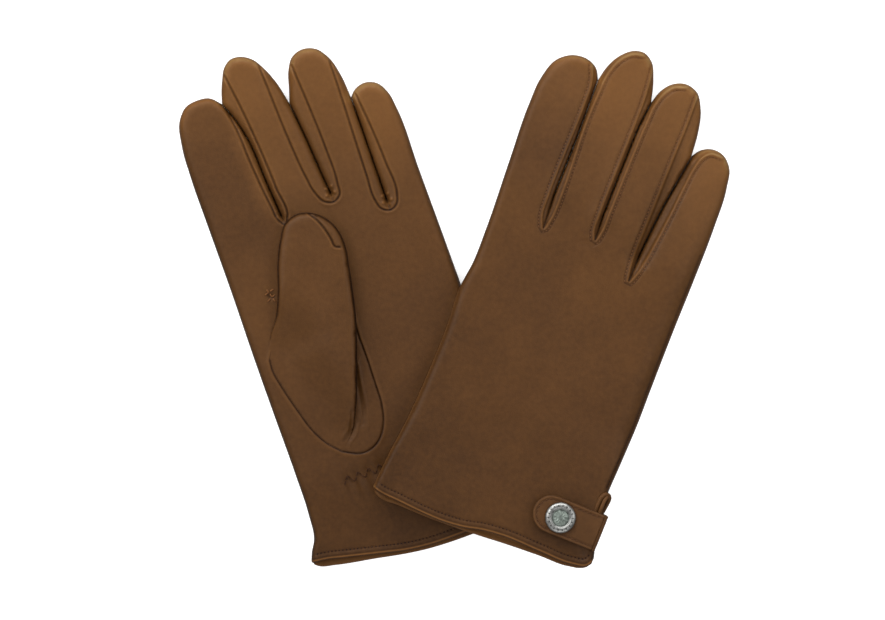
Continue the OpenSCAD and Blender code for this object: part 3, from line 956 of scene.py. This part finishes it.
def sheet(side, face):
    """One face of a glove, from the hem to the fingertips."""
    lines = LINES[side]
    loop = np.vstack([lines["edge"], lines["hems"][face][-2:0:-1]])
    upper = SHAPES[side]["upper"] == face
    seams = lines["seams"][face]
    rows = edge_rows(lines["edge"], EDGE_ROWS, -1)
    for seam in seams:
        for d in (0.25, 0.5, 0.85, 1.3, 1.9, 2.6, 3.4):
            rows += even_rows(seam, (-d, d), SEAM_STEP if upper else 1.5, 0.2 + 0.12 * d)
    if face == "back":
        rows += even_rows(lines["side_seam"], (-1.2, -0.7, -0.3, 0, 0.3, 0.7, 1.2), 1.4, 0.25)
    hem_offsets = (0.3, 0.7, 1.2, 1.8, 2.4, 2.8, 3.3, 3.8, HEM_BAND)
    rows += even_rows(lines["hems"][face], hem_offsets, 1.4, 0.28)
    for tail in lines["tails"][face]:
        rows += even_rows(tail, (-1.6, -1.0, -0.5, 0.5, 1.0, 1.6), 0.8, 0.22)
        if side == "left" and face == "palm":
            rows.append(patch_row(tail[0], 0.5, 8, 8, 0.33))
    if side == "left" and face == "palm":
        rows.append(patch_row(TACK, 0.6, 5, 6, 0.4))
    if face == "palm":
        rows += even_rows(lines["thumb_seam"], (-2.2, -1.3, -0.7, -0.3, 0, 0.3, 0.8, 1.4), 1.3, 0.26)
        wrist = [(x, y) for y in np.arange(24, 56, 1.4) for x in np.arange(-42, 40, 0.9)]
        rows.append((np.array(wrist), 0.75))
    points, tris = triangulate(loop, seams + lines["tails"][face], rows, FIELD_STEP if upper else HIDDEN_STEP)
    z = face_z(side, face, points)
    return np.column_stack([points, z]), oriented(points, tris, face == "palm")


def label_faces(side, face, points, tris):
    """Which piece each triangle belongs to."""
    lines = LINES[side]
    centre = points[tris][:, :, :2].mean(axis=1)
    labels = np.full(len(tris), "trank", dtype=object)
    splits = []
    for crease, tail in zip(lines["creases"], lines["tails"][face]):
        whole = np.vstack([crease, tail[1:], [tail[-1] - [0, 60]]])[::-1]
        splits.append(np.interp(centre[:, 1], whole[:, 1], whole[:, 0]))
    finger = sum((centre[:, 0] > s).astype(int) for s in splits)
    above = centre[:, 1] > np.array(SHAPES[side]["roots"], float)[finger] - FINGER_START
    for k, name in enumerate(FINGERS):
        labels[above & (finger == k)] = name + "_finger"
    for gap in range(3):
        among = inside(centre, lines["seams"][face][gap])
        for name, k, way in FORCHETTES:
            if (k, way) == (gap, 1):
                labels[among & (centre[:, 0] <= splits[gap])] = name
            if (k, way) == (gap + 1, 0):
                labels[among & (centre[:, 0] > splits[gap])] = name
    labels[distance(centre, lines["hems"][face]) < HEM_BAND] = "cuff_binding"
    return labels


def turned_hem(side, soup):
    """Rolls the hem over and lines the cuff: the same surface again, a little way in, joined at the mouth."""
    lines = LINES[side]
    flat = soup.points[:, :2]
    depth = np.full(len(flat), 99.0)
    for face in ("palm", "back"):
        hem = distance(flat, lines["hems"][face])
        facing_up = soup.normals[:, 2] > 0 if face == "palm" else soup.normals[:, 2] <= 0
        depth = np.where(facing_up, np.minimum(depth, hem), depth)
    thickness = 2 * HEM_ROLL - (2 * HEM_ROLL - LEATHER_T) * ease(depth / 8)
    inner = soup.points - soup.normals * thickness[:, None]
    tri_depth = depth[soup.tris].max(axis=1)
    lined = soup.tris[tri_depth < FACING_DEPTH]
    labels = np.where(tri_depth[tri_depth < FACING_DEPTH] < HEM_BAND, "cuff_binding", "cuff_facing")
    used, index = np.unique(lined, return_inverse=True)
    more = Soup()
    more.add(soup.points, soup.tris, list(soup.labels))
    more.add(inner[used], index.reshape(-1, 3)[:, ::-1], list(labels))

    mouth = {}
    for a, b in np.vstack([soup.tris[:, [0, 1]], soup.tris[:, [1, 2]], soup.tris[:, [2, 0]]]).tolist():
        mouth[(a, b)] = mouth.get((a, b), 0) + 1
    rim = {a: b for a, b in mouth if (b, a) not in mouth}
    start = next(iter(rim))
    loop = [start]
    while rim[loop[-1]] != start and len(loop) < len(rim):
        loop.append(rim[loop[-1]])
    loop = np.array(loop)
    edge, inward = soup.points[loop], -soup.normals[loop]
    along = np.roll(edge, -1, axis=0) - np.roll(edge, 1, axis=0)
    out = np.cross(along, soup.normals[loop])
    out /= np.linalg.norm(out, axis=1)[:, None]
    if np.median(out[:, 1]) > 0:
        out = -out
    rings = []
    for a in np.linspace(0, math.pi, 9):
        rings.append(edge + out * HEM_ROLL * math.sin(a) * HEM_BULGE + inward * HEM_ROLL * (1 - math.cos(a)))
    quads = ring_faces(len(rings), len(loop), False)
    halves = [half for a, b, c, d in quads for half in ((b, a, d), (b, d, c))]
    more.add(np.vstack(rings), np.array(halves), ["cuff_binding"] * len(halves))
    more.weld()
    return more


def face_mid(side, flat):
    """The height halfway between a glove's two faces."""
    return (face_z(side, "palm", flat) + face_z(side, "back", flat)) / 2


def finger_piece(obj):
    """Bakes a finger's piece's placing into its points."""
    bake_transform(obj)


def seam_stitches(side, pieces):
    """Stitches behind each lapped edge on the back of the hand, kept by the piece they're sewn into."""
    lines = LINES[side]
    roots = SHAPES[side]["roots"]
    for gap, seam in enumerate(lines["seams"]["back"]):
        lowest = int(np.argmin(seam[:, 1]))
        row = beside(seam, -SEAM_INSET, SEAM_STEP)
        for part, k in ((row[:lowest], gap), (row[lowest:], gap + 1)):
            part = clear_of(part, lines["edge"], 1.2)
            middle, stitches = stitched(side, "back", part, SEAM_PITCH, 0.66, 0.27, 0.2)
            for at, stitch in zip(middle, stitches):
                label = FINGERS[k] + "_finger" if at[1] > roots[k] - FINGER_START else "trank"
                pieces.setdefault(label, []).append(stitch)


def hem_stitches(side, pieces):
    """The row of stitches that holds the turned hem, on both faces."""
    for face in ("palm", "back"):
        line = beside(LINES[side]["hems"][face], HEM_STITCH, 1.0)
        line = clear_of(line, LINES[side]["edge"], 1.6)
        pieces.setdefault("cuff_binding", []).extend(stitched(side, face, line, 1.8, 0.56, 0.32)[1])


def tack():
    """The small star of stitches beside the left thumb, where its lining is caught."""
    strokes = [((-38.6, 138.0), (-33.2, 139.4)), ((-36.8, 140.6), (-34.6, 132.8)),
               ((-38.8, 134.4), (-33.4, 136.8))]
    stitches = []
    for stroke in strokes:
        stitches += stitched("left", "palm", np.array(stroke), STITCH_PITCH, 0.92, 0.36, 0.3)[1]
    return stitches


def glove(side):
    """Both faces of a glove as one skin, cut into its pieces."""
    soup = Soup()
    for face in ("palm", "back"):
        points, tris = sheet(side, face)
        soup.add(points, tris, label_faces(side, face, points, tris))
    soup.weld()
    soup = turned_hem(side, soup)
    up = soup.normals[:, 2] > 0
    flat = soup.points[:, :2]
    tone = np.where(up, tone_of(side, "palm", flat), tone_of(side, "back", flat))
    # Painted light: the inner faces of the turned hem and the cuff's facing are made lighter, against the
    # shade inside the cuff
    lined = soup.points[:, 2] - face_mid(side, flat)
    tone += 0.42 * (lined * np.where(up, 1, -1) < 0)
    extras = {}
    seam_stitches(side, extras)
    hem_stitches(side, extras)
    pieces = {}
    for label in sorted(set(soup.labels)):
        points, faces, normals = soup.cut(label)
        used = np.unique(soup.tris[soup.labels == label])
        material = LINING if label == "cuff_facing" else HIDE
        parts = [(points, faces, normals, tone[used], material)]
        if extras.get(label):
            thread_points, thread_faces = gathered(extras[label])
            # Thread on the hand and fingers is lighter towards the fingertips, painted light from above; the
            # hem's thread is dark
            thread_tone = {"cuff_binding": 0.1}.get(label, 0.55 + 0.0012 * (thread_points[:, 1] - 120))
            parts.append((thread_points, thread_faces, None, thread_tone, THREAD))
        if side == "left" and label == "trank":
            parts.append(sewn(tack(), 1.0))
        pieces[label] = mesh_object(side, label, parts)
    for label in ("trank", "cuff_binding", "cuff_facing"):
        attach(pieces[label], f"{side}_hand")
    for k, name in enumerate(FINGERS):
        finger_piece(pieces[name + "_finger"])
    for name, k, _ in FORCHETTES:
        finger_piece(pieces[name])


# The creases beside the left thumb's base, each with its height, and the seam at the thumb's tip
WRINKLES = [(spline(line, 1.0), height) for line, height in (
    ([(-28, 57.5), (-24, 59.5), (-20.5, 64.5), (-18.5, 70)], -0.9),
    ([(-27, 59.8), (-23.8, 62.2), (-21.2, 67)], 0.6),
    ([(-24, 56), (-20.5, 58.5), (-17.8, 63)], 0.6),
    ([(-13.5, 60), (-11.2, 68), (-9.4, 80), (-7.2, 92)], 0.7),
    ([(-16.2, 62), (-13.6, 70), (-11.6, 80), (-9, 90)], -0.6),
)]
TIP_SEAM = spline([(-4.6, 168.3), (-1.8, 163.5), (0.3, 158), (1.6, 152), (2.2, 148), (4.2, 147)], SEAM_STEP)


# Where the thumb's bend starts and ends, over what distance from its base it rises, and how far; then how
# thick it is above and below its middle, and how wide its rolled edge is
THUMB_RISE = {"left": 34, "right": 26}
THUMB_LIFT = 4.4
THUMB_ABOVE = 4.9
THUMB_BELOW = 3.8
THUMB_ROLL = 4.2


def patch_z(side, points, base):
    """Height of the leather sewn in at the thumb's base: below the palm at the seam, level further in."""
    z = GLOVE_T - 1 + dome(base / 1.6) + uneven(points, 8, 0.18, 2.2) * ease(base / 4)
    if side == "left":
        for line, height in WRINKLES:
            z += height * bell(distance(points, line), 0.7) * ease(base / 3)
    return z


def wrinkle_rows():
    """Denser points along the creases at the left thumb's base."""
    return [row for line, _ in WRINKLES for row in even_rows(line, (-1.2, -0.6, 0, 0.6, 1.2), 0.8, 0.35)]


def thumb_z(side, points):
    """Heights of the thumb's upper and lower faces: sewn down along its base, free from there to the tip."""
    lines = LINES[side]
    base = distance(points, lines["thumb_base"])
    free = distance(points, lines["thumb_free"])
    rise = ease((base - 3) / THUMB_RISE[side])
    middle = patch_z(side, points, base) + THUMB_LIFT * rise
    roll = squared(free / THUMB_ROLL)
    upper = middle + 0.06 + (0.4 + THUMB_ABOVE * rise) * roll * ease((base - 1) / 9)
    lower = middle - (0.2 + THUMB_BELOW * rise) * roll * ease(base / 6)
    lumps = uneven(points, 24, 0.5, 21.3) + uneven(points, 9, 0.14, 5.9)
    upper = upper + ease(free / 5) * ease(base / 8) * lumps
    if side == "left":
        upper = upper + pressed_relief(distance(points, TIP_SEAM)) * ease(free / 1.5)
    return upper, lower


def thumb(side):
    """The thumb's tube, bending at its base."""
    lines = LINES[side]
    loop = np.vstack([lines["thumb_base"], lines["thumb_free"][1:-1]])
    closed = ringed(loop)
    rows = edge_rows(closed, (*EDGE_ROWS, 7.6))
    if side == "left":
        rows += even_rows(TIP_SEAM, (-2.4, -1.6, -1, -0.6, -0.3, 0, 0.3, 0.6, 1, 1.6, 2.4), SEAM_STEP, 0.25)
        rows += wrinkle_rows()
    points, tris = triangulate(loop, [], rows, 2.4)
    tris = oriented(points, tris)
    upper, lower = thumb_z(side, points)
    edge = distance(points, closed) < ON_LINE
    lower[edge] = upper[edge]
    above, below = np.column_stack([points, upper]), np.column_stack([points, lower])
    verts, faces, normals = shell((above, tris), (below, tris[:, ::-1]))
    base = distance(verts[:, :2], lines["thumb_base"])
    # Painted shade at the thumb's base seam, and on its sides where the surface turns away from the light
    tone = tone_of(side, None, verts[:, :2]) - 0.3 * bell(base, 0.6)
    tone -= 0.42 * ease((0.7 - normals[:, 2]) / 0.5) * ease((base - 5) / 9)
    level = (1 - ease((base - 3) / 9)) * (normals[:, 2] > -0.5)
    normals = normals * (1 - level[:, None]) + np.outer(level, [0, 0, 1])
    if side == "left":
        d, way, _ = nearest(verts[:, :2], TIP_SEAM)
        # Painted highlight beside the thumb's tip seam, and painted shade in it
        tone += 0.25 * bell(d * way + 0.9, 0.4) - 0.35 * bell(d, 0.45)
    obj = mesh_object(side, "thumb", [(verts, faces, normals, tone, HIDE)])
    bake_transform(obj)


def thumb_gusset(side):
    """The leather between the thumb's base seam and the folded thumb."""
    lines = LINES[side]
    loop = np.vstack([lines["thumb_base"], lines["gusset"][1:-1]])
    closed = ringed(loop)
    rows = even_rows(closed, (0.3, 0.8, 1.5, 2.4), 1.3, 0.3)
    if side == "left":
        rows += wrinkle_rows()
    points, tris = triangulate(loop, [], rows, 2.6)
    tris = oriented(points, tris)
    z = patch_z(side, points, distance(points, closed))
    verts, faces, normals = shell((np.column_stack([points, z]), tris))
    # Painted shade along the gusset's edge, in the crease under the folded thumb
    tone = tone_of(side, None, verts[:, :2]) - 0.3 * bell(distance(verts[:, :2], lines["gusset"]), 0.6)
    obj = mesh_object(side, "thumb_gusset", [(verts, faces, normals, tone, HIDE)])
    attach(obj, f"{side}_hand")


def swept(path, ups, profile):
    """A closed cross-section of (across, up) points carried along a path."""
    path, ups = np.asarray(path, float), np.asarray(ups, float)
    along = np.gradient(path, axis=0)
    along /= np.linalg.norm(along, axis=1)[:, None]
    across = np.cross(along, ups)
    across /= np.linalg.norm(across, axis=1)[:, None]
    high = np.cross(across, along)
    points = np.vstack([p + np.outer(profile[:, 0], a) + np.outer(profile[:, 1], h)
                        for p, a, h in zip(path, across, high)])
    return points, ring_faces(len(path), len(profile))


def round_profile(radius_across, radius_up, sides=12):
    """An oval cross-section."""
    a = np.linspace(0, 2 * math.pi, sides, endpoint=False)
    return np.column_stack([radius_across * np.cos(a), radius_up * np.sin(a)])


def band_profile(half_width, half_thick):
    """A flat strap's section, with rounded edges and a stitched channel near each edge."""
    flat = np.linspace(-1, 1, 15) * (half_width - half_thick)
    top = half_thick * (1 - 0.22 * bell(np.abs(flat) - (half_width - 2.1), 0.7))
    round_end = [(half_width - half_thick + half_thick * math.cos(a), half_thick * math.sin(a))
                 for a in (-1.1, -0.5, 0, 0.5, 1.1)]
    upper = np.column_stack([flat[::-1], top[::-1]])
    lower = np.column_stack([flat, -np.full(len(flat), half_thick)])
    left_end = [(-x, -y) for x, y in round_end]
    return np.vstack([lower, round_end, upper, left_end])


# The strap and its snap
STRAP_W = 18.5
STRAP_END = 20.5
STRAP_LAYER = 0.8
STRAP_STITCH = 1.9
FOLD_STEPS = 9
ANCHOR_BEND = 1.6
UNDER_GAP = 2.2
SNAP = np.array([34.5, 18.5])
LATHE_STEPS = 96
AWAY = np.array([0, 0, -1.0])
RECESS_Z = {"left": 6.4, "right": 0.0}
LOWEST_PIPING = 1.2


def strap_side(shrink, past):
    """The strap's edge from the fold, round the free end and back, running on past the fold."""
    r = STRAP_W / 2 - shrink
    middle = STRAP_END + STRAP_W / 2
    turn = [(middle - r * math.sin(a), FOLD[1] + r * math.cos(a)) for a in np.linspace(0, math.pi, 25)]
    end = FOLD[0] - 0.4 + past
    return np.array([(end, FOLD[1] + r), *turn, (end, FOLD[1] - r)])


def strap_layer(base, thickness, shrink, stitched_edge, material):
    """One layer of the strap as a closed shell; up is away from the back of the hand."""
    loop = resample(ringed(strap_side(shrink, 0)), 1.0)[:-1]
    closed = ringed(loop)
    rows = even_rows(closed, (0.15, 0.45, 0.9, 1.4, 1.9, 2.4, 3.0), 0.9, 0.2)
    points, tris = triangulate(loop, [], rows, 2.0)
    tris = oriented(points, tris)
    d = distance(points, closed)
    height = thickness * (0.45 + 0.55 * dome(d / 0.7))
    rim = strap_side(shrink, 8)
    if stitched_edge:
        d = distance(points, rim)
        height = height - 0.2 * bell(d - STRAP_STITCH, 0.4) + 0.12 * bell(d - 0.9, 0.5)
        height += uneven(points, 6, 0.06, 4.4)
    outer = np.column_stack([points, base - height])
    inner = np.column_stack([points, np.full(len(points), base)])
    edge = distance(points, closed) < ON_LINE
    outer[edge, 2] = inner[edge, 2] = base - thickness * 0.3
    verts, faces, normals = shell((outer, tris[:, ::-1]), (inner, tris))
    d = distance(verts[:, :2], rim)
    # Painted shade at the strap's edge and in its stitched channel, and a painted highlight on the raised
    # bead between
    tone = 0.47 - 0.18 * bell(d, 0.35) + 0.1 * bell(d - 0.9, 0.4) - 0.16 * bell(d - STRAP_STITCH, 0.5)
    parts = [(verts, faces, normals, tone, material)]
    if stitched_edge:
        line = resample(strap_side(shrink + STRAP_STITCH, 0), STITCH_PITCH)
        stitches = []
        top = base - thickness + 0.12
        for a, b in zip(line[:-1], line[1:]):
            run = (b - a) * 0.17
            ends = [np.array([*(a + run), top]), np.array([*(b - run), top])]
            stitches.append(bead(*ends, AWAY, 0.26, 0.12, 0.4))
        parts.append(sewn(stitches, 0.4))
    return parts


def strap(side):
    """The strap's two layers and its fold, which open, and the end that stays sewn to the palm."""
    under = RECESS_Z[side] - UNDER_GAP
    backing = strap_layer(under, STRAP_LAYER, 0.5, False, LINING)
    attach(mesh_object(side, "strap_backing", backing), f"{side}_strap")
    parts = strap_layer(under - STRAP_LAYER, STRAP_LAYER, 0, True, TRIM)
    half = STRAP_W / 2
    z = under - STRAP_LAYER + 0.05
    a = np.linspace(-math.pi / 2, math.pi / 2, FOLD_STEPS)
    x = FOLD[0] - 0.5 + 1.1 * np.cos(a)
    path = np.column_stack([x, np.full(FOLD_STEPS, FOLD[1]), z + 0.75 * np.sin(a)])
    ups = np.column_stack([np.cos(a), np.zeros(FOLD_STEPS), np.sin(a)])
    points, faces = swept(path, ups, band_profile(half, 0.42))
    parts.append((points, faces, None, 0.45, TRIM))
    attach(mesh_object(side, "strap_top", parts), f"{side}_strap")

    laid = np.array([(x, FOLD[1]) for x in np.linspace(50, 30, 12)])
    laid_z = face_z(side, "palm", laid) + 0.6
    high, low = under + 0.5, laid_z[0]
    side_x = FOLD[0] + 0.25
    corner = [(side_x - ANCHOR_BEND * (1 - math.sin(t)), low - ANCHOR_BEND * (1 - math.cos(t)))
              for t in np.linspace(math.pi / 2, 0, 7)]
    track = [(side_x, z) for z in np.linspace(high, low - 1.8, 8)] + corner + list(zip(laid[:, 0], laid_z))
    track = np.array(track)
    path = np.column_stack([track[:, 0], np.full(len(track), FOLD[1]), track[:, 1]])
    step = np.gradient(track, axis=0)
    ups = np.column_stack([step[:, 1], np.zeros(len(track)), -step[:, 0]])
    points, faces = swept(path, ups, band_profile(half, 0.55))
    anchor = mesh_object(side, "strap_anchor", [(points, faces, None, 0.38, TRIM)])
    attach(anchor, f"{side}_hand")


def vent_binding(side):
    """Piping round the top of the vent, folded where the palm and the back part."""
    back = RECESS_Z[side]
    route = [(49.6, 9, back + 1.8), (49.5, 20, back + 0.8), (49.2, 28, 0.2 + back * 0.3), (49.0, 34, -0.4),
             (50.2, 37, -0.3), (52.2, 37.4, 1.4), (53.6, 36, 4.0), (53.2, 31.5, 5.2), (52.4, 26, 6.2),
             (53.2, 16, 6.6), (54.6, 10, 6.5)]
    path = np.array([np.interp(np.linspace(0, 1, 60), np.linspace(0, 1, len(route)), [p[k] for p in route])
                     for k in range(3)]).T
    for _ in range(6):
        path[1:-1] = (path[:-2] + 2 * path[1:-1] + path[2:]) / 4
    pleat = np.array([(51.3, 22, back + 0.8), (51.4, 27, 0.3 + back * 0.3), (51.3, 31, -0.2),
                      (51.3, 34.3, -0.2), (51.8, 36.4, 0.6)])
    parts = []
    for line, radius, tone in ((path, 1.15, 0.55), (resample(pleat, 0.8), 0.95, 0.62)):
        if side == "left":
            line[:, 2] = np.maximum(line[:, 2], LOWEST_PIPING)
        ups = np.tile([1.0, 0.0, -0.6], (len(line), 1))
        parts.append((*swept(line, ups, round_profile(radius, 1.0)), None, tone, TRIM))
    obj = mesh_object(side, "vent_binding", parts)
    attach(obj, f"{side}_hand")


TAPE_Y = 39.5
TAPE_STEPS = 60
ZIGZAG_Y = 39.3
ZIGZAG = 2.1


def wrist_elastic(side):
    """The tape inside the palm, and the zigzag that sews it, which shows outside."""
    x = np.linspace(-37, 33, TAPE_STEPS)
    path = np.column_stack([x, np.full(TAPE_STEPS, TAPE_Y), np.zeros(TAPE_STEPS)])
    path[:, 2] = face_z(side, "palm", path[:, :2]) - 2.6
    points, faces = swept(path, np.tile([0, 0, 1.0], (TAPE_STEPS, 1)), round_profile(3.0, 0.5, 16))
    turns = enumerate(np.arange(-34.5, 31, 2.7))
    zig = np.array([(x, ZIGZAG_Y + (ZIGZAG if k % 2 else -ZIGZAG)) for k, x in turns])
    stitches = []
    for a, b in zip(zig[:-1], zig[1:]):
        stitches += stitched(side, "palm", np.array([a, b]), 2.6, 0.92, 0.27, 0.2, 0.45)[1]
    parts = [(points, faces, None, 0.5, ELASTIC), sewn(stitches, 0.2)]
    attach(mesh_object(side, "wrist_elastic", parts), f"{side}_hand")


def lathe(profile, base):
    """A shape turned round the snap from (radius, height) points; height goes away from the hand's back."""
    a = np.linspace(0, 2 * math.pi, LATHE_STEPS, endpoint=False)
    points = []
    for r, h in profile:
        x, y = SNAP[0] + r * np.cos(a), SNAP[1] + r * np.sin(a)
        points.append(np.column_stack([x, y, np.full(LATHE_STEPS, base - h)]))
    faces = [(a, d, c, b) for a, b, c, d in ring_faces(len(profile), LATHE_STEPS, False)]
    return np.vstack(points), faces


CAP_BARS = 18
CAP_PETALS = 12


def spokes(count, reach, z, radius, lift, sink):
    """Small bars round the snap's centre, from one radius out to another."""
    bars = []
    for k in range(count):
        a = 2 * math.pi * k / count
        run = np.array([math.cos(a), math.sin(a)])
        ends = [np.array([*(SNAP + run * r), z]) for r in reach]
        bars.append(bead(*ends, AWAY, radius, lift, sink))
    return bars


def snap_cap(side):
    """A domed rim round a sunk centre, with a plain ring of dark bars and a rosette in place of any mark."""
    base = RECESS_Z[side] - UNDER_GAP - 2 * STRAP_LAYER
    rim = [(0.02, 0.2), (7.0, 0.2), (7.4, 0.35), (7.5, 0.7), (7.42, 1.1), (7.15, 1.5), (6.6, 1.9),
           (5.95, 2.1), (5.3, 2.12), (4.9, 2.0), (4.72, 1.75), (4.6, 1.5), (4.3, 1.38), (3.6, 1.42),
           (2.0, 1.55), (0.9, 1.6), (0.02, 1.62)]
    parts = [(*lathe(rim[:14], base), None, 0.5, RIM_METAL),
             (*lathe(rim[12:], base), None, 0.5, CENTRE_METAL)]
    parts.append(sewn(spokes(CAP_BARS, (5.3, 6.5), base - 2.1, 0.26, 0.0, 0.12), 0.5, MARK_METAL))
    parts.append(sewn(spokes(CAP_PETALS, (0.9, 3.5), base - 1.5, 0.3, -0.08, 0.1), 0.5, CENTRE_METAL))
    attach(mesh_object(side, "snap_cap", parts), f"{side}_strap")


for side in SIDES:
    glove(side)
    thumb(side)
    thumb_gusset(side)
    strap(side)
    vent_binding(side)
    wrist_elastic(side)
    snap_cap(side)

# ---- everything still shown as plain CAD ----
for name, obj in frame["nodes"].items():
    if not obj.hide_render:
        obj.data.materials.clear()
        obj.data.materials.append(RIM_METAL if "_snap_" in name else TRIM)


# ---- the studio ----
CAMERA_OFFSET = (0.0053, 0.0015)
CAMERA_HEIGHT = 3.015
FLOOR_REACH = 3.0
LAMPS = (
    ("top_light", (-0.2, 1.25, 0.85), (2.2, 0.8), 30),
    ("left_light", (-1.0, 0.3, 1.2), (0.8, 1.4), 12),
    ("right_light", (1.1, 0.1, 1.2), (0.9, 1.6), 9),
    ("low_light", (0.0, -1.2, 0.9), (1.6, 0.6), 6),
)


def studio():
    """A white floor, four lamps and a camera straight above."""
    low, high = cad_box
    centre = (low + high) / 2
    mesh = bpy.data.meshes.new("floor")
    corners = [(x * FLOOR_REACH, y * FLOOR_REACH, 0) for x, y in ((-1, -1), (1, -1), (1, 1), (-1, 1))]
    mesh.from_pydata(corners, [], [(0, 1, 2, 3)])
    floor = bpy.data.objects.new("floor", mesh)
    bpy.context.scene.collection.objects.link(floor)
    paper, nodes, links, sheet_shader = plain_material("paper")
    sheet_shader.inputs["Base Color"].default_value = (0.5, 0.5, 0.5, 1)
    sheet_shader.inputs["Roughness"].default_value = 0.9
    sheet_shader.inputs["Emission Color"].default_value = (1, 1, 1, 1)
    # The floor glows white rather than being lit, and ambient occlusion dims the glow: painted shade under
    # and between the gloves
    shade = nodes.new("ShaderNodeAmbientOcclusion")
    shade.samples = 8
    shade.inputs["Distance"].default_value = 0.06
    glow = nodes.new("ShaderNodeMapRange")
    for socket, value in {"From Min": 0.06, "From Max": 0.14, "To Min": 0.0, "To Max": 0.85}.items():
        glow.inputs[socket].default_value = value
    links.new(shade.outputs["AO"], glow.inputs["Value"])
    links.new(glow.outputs["Result"], sheet_shader.inputs["Emission Strength"])
    mesh.materials.append(paper)
    floor.location.z = -0.0005
    floor.visible_diffuse = False
    floor.visible_glossy = False

    for name, at, size, watts in LAMPS:
        data = bpy.data.lights.new(name, "AREA")
        data.shape = "RECTANGLE"
        data.size, data.size_y = size
        data.energy = watts
        obj = bpy.data.objects.new(name, data)
        obj.location = at
        obj.rotation_euler = (centre - Vector(at)).to_track_quat("-Z", "Y").to_euler()
        bpy.context.scene.collection.objects.link(obj)
    world = bpy.data.worlds.new("room")
    world.use_nodes = True
    world.node_tree.nodes["Background"].inputs["Color"].default_value = (1, 1, 1, 1)
    world.node_tree.nodes["Background"].inputs["Strength"].default_value = 0.35
    bpy.context.scene.world = world

    camera = bpy.data.cameras.new("camera")
    camera.lens = 250
    camera.sensor_width = 36
    eye = bpy.data.objects.new("camera", camera)
    eye.location = (centre.x - CAMERA_OFFSET[0], centre.y - CAMERA_OFFSET[1], CAMERA_HEIGHT)
    bpy.context.scene.collection.objects.link(eye)
    bpy.context.scene.camera = eye
    bpy.context.scene.view_settings.view_transform = "Standard"


studio()
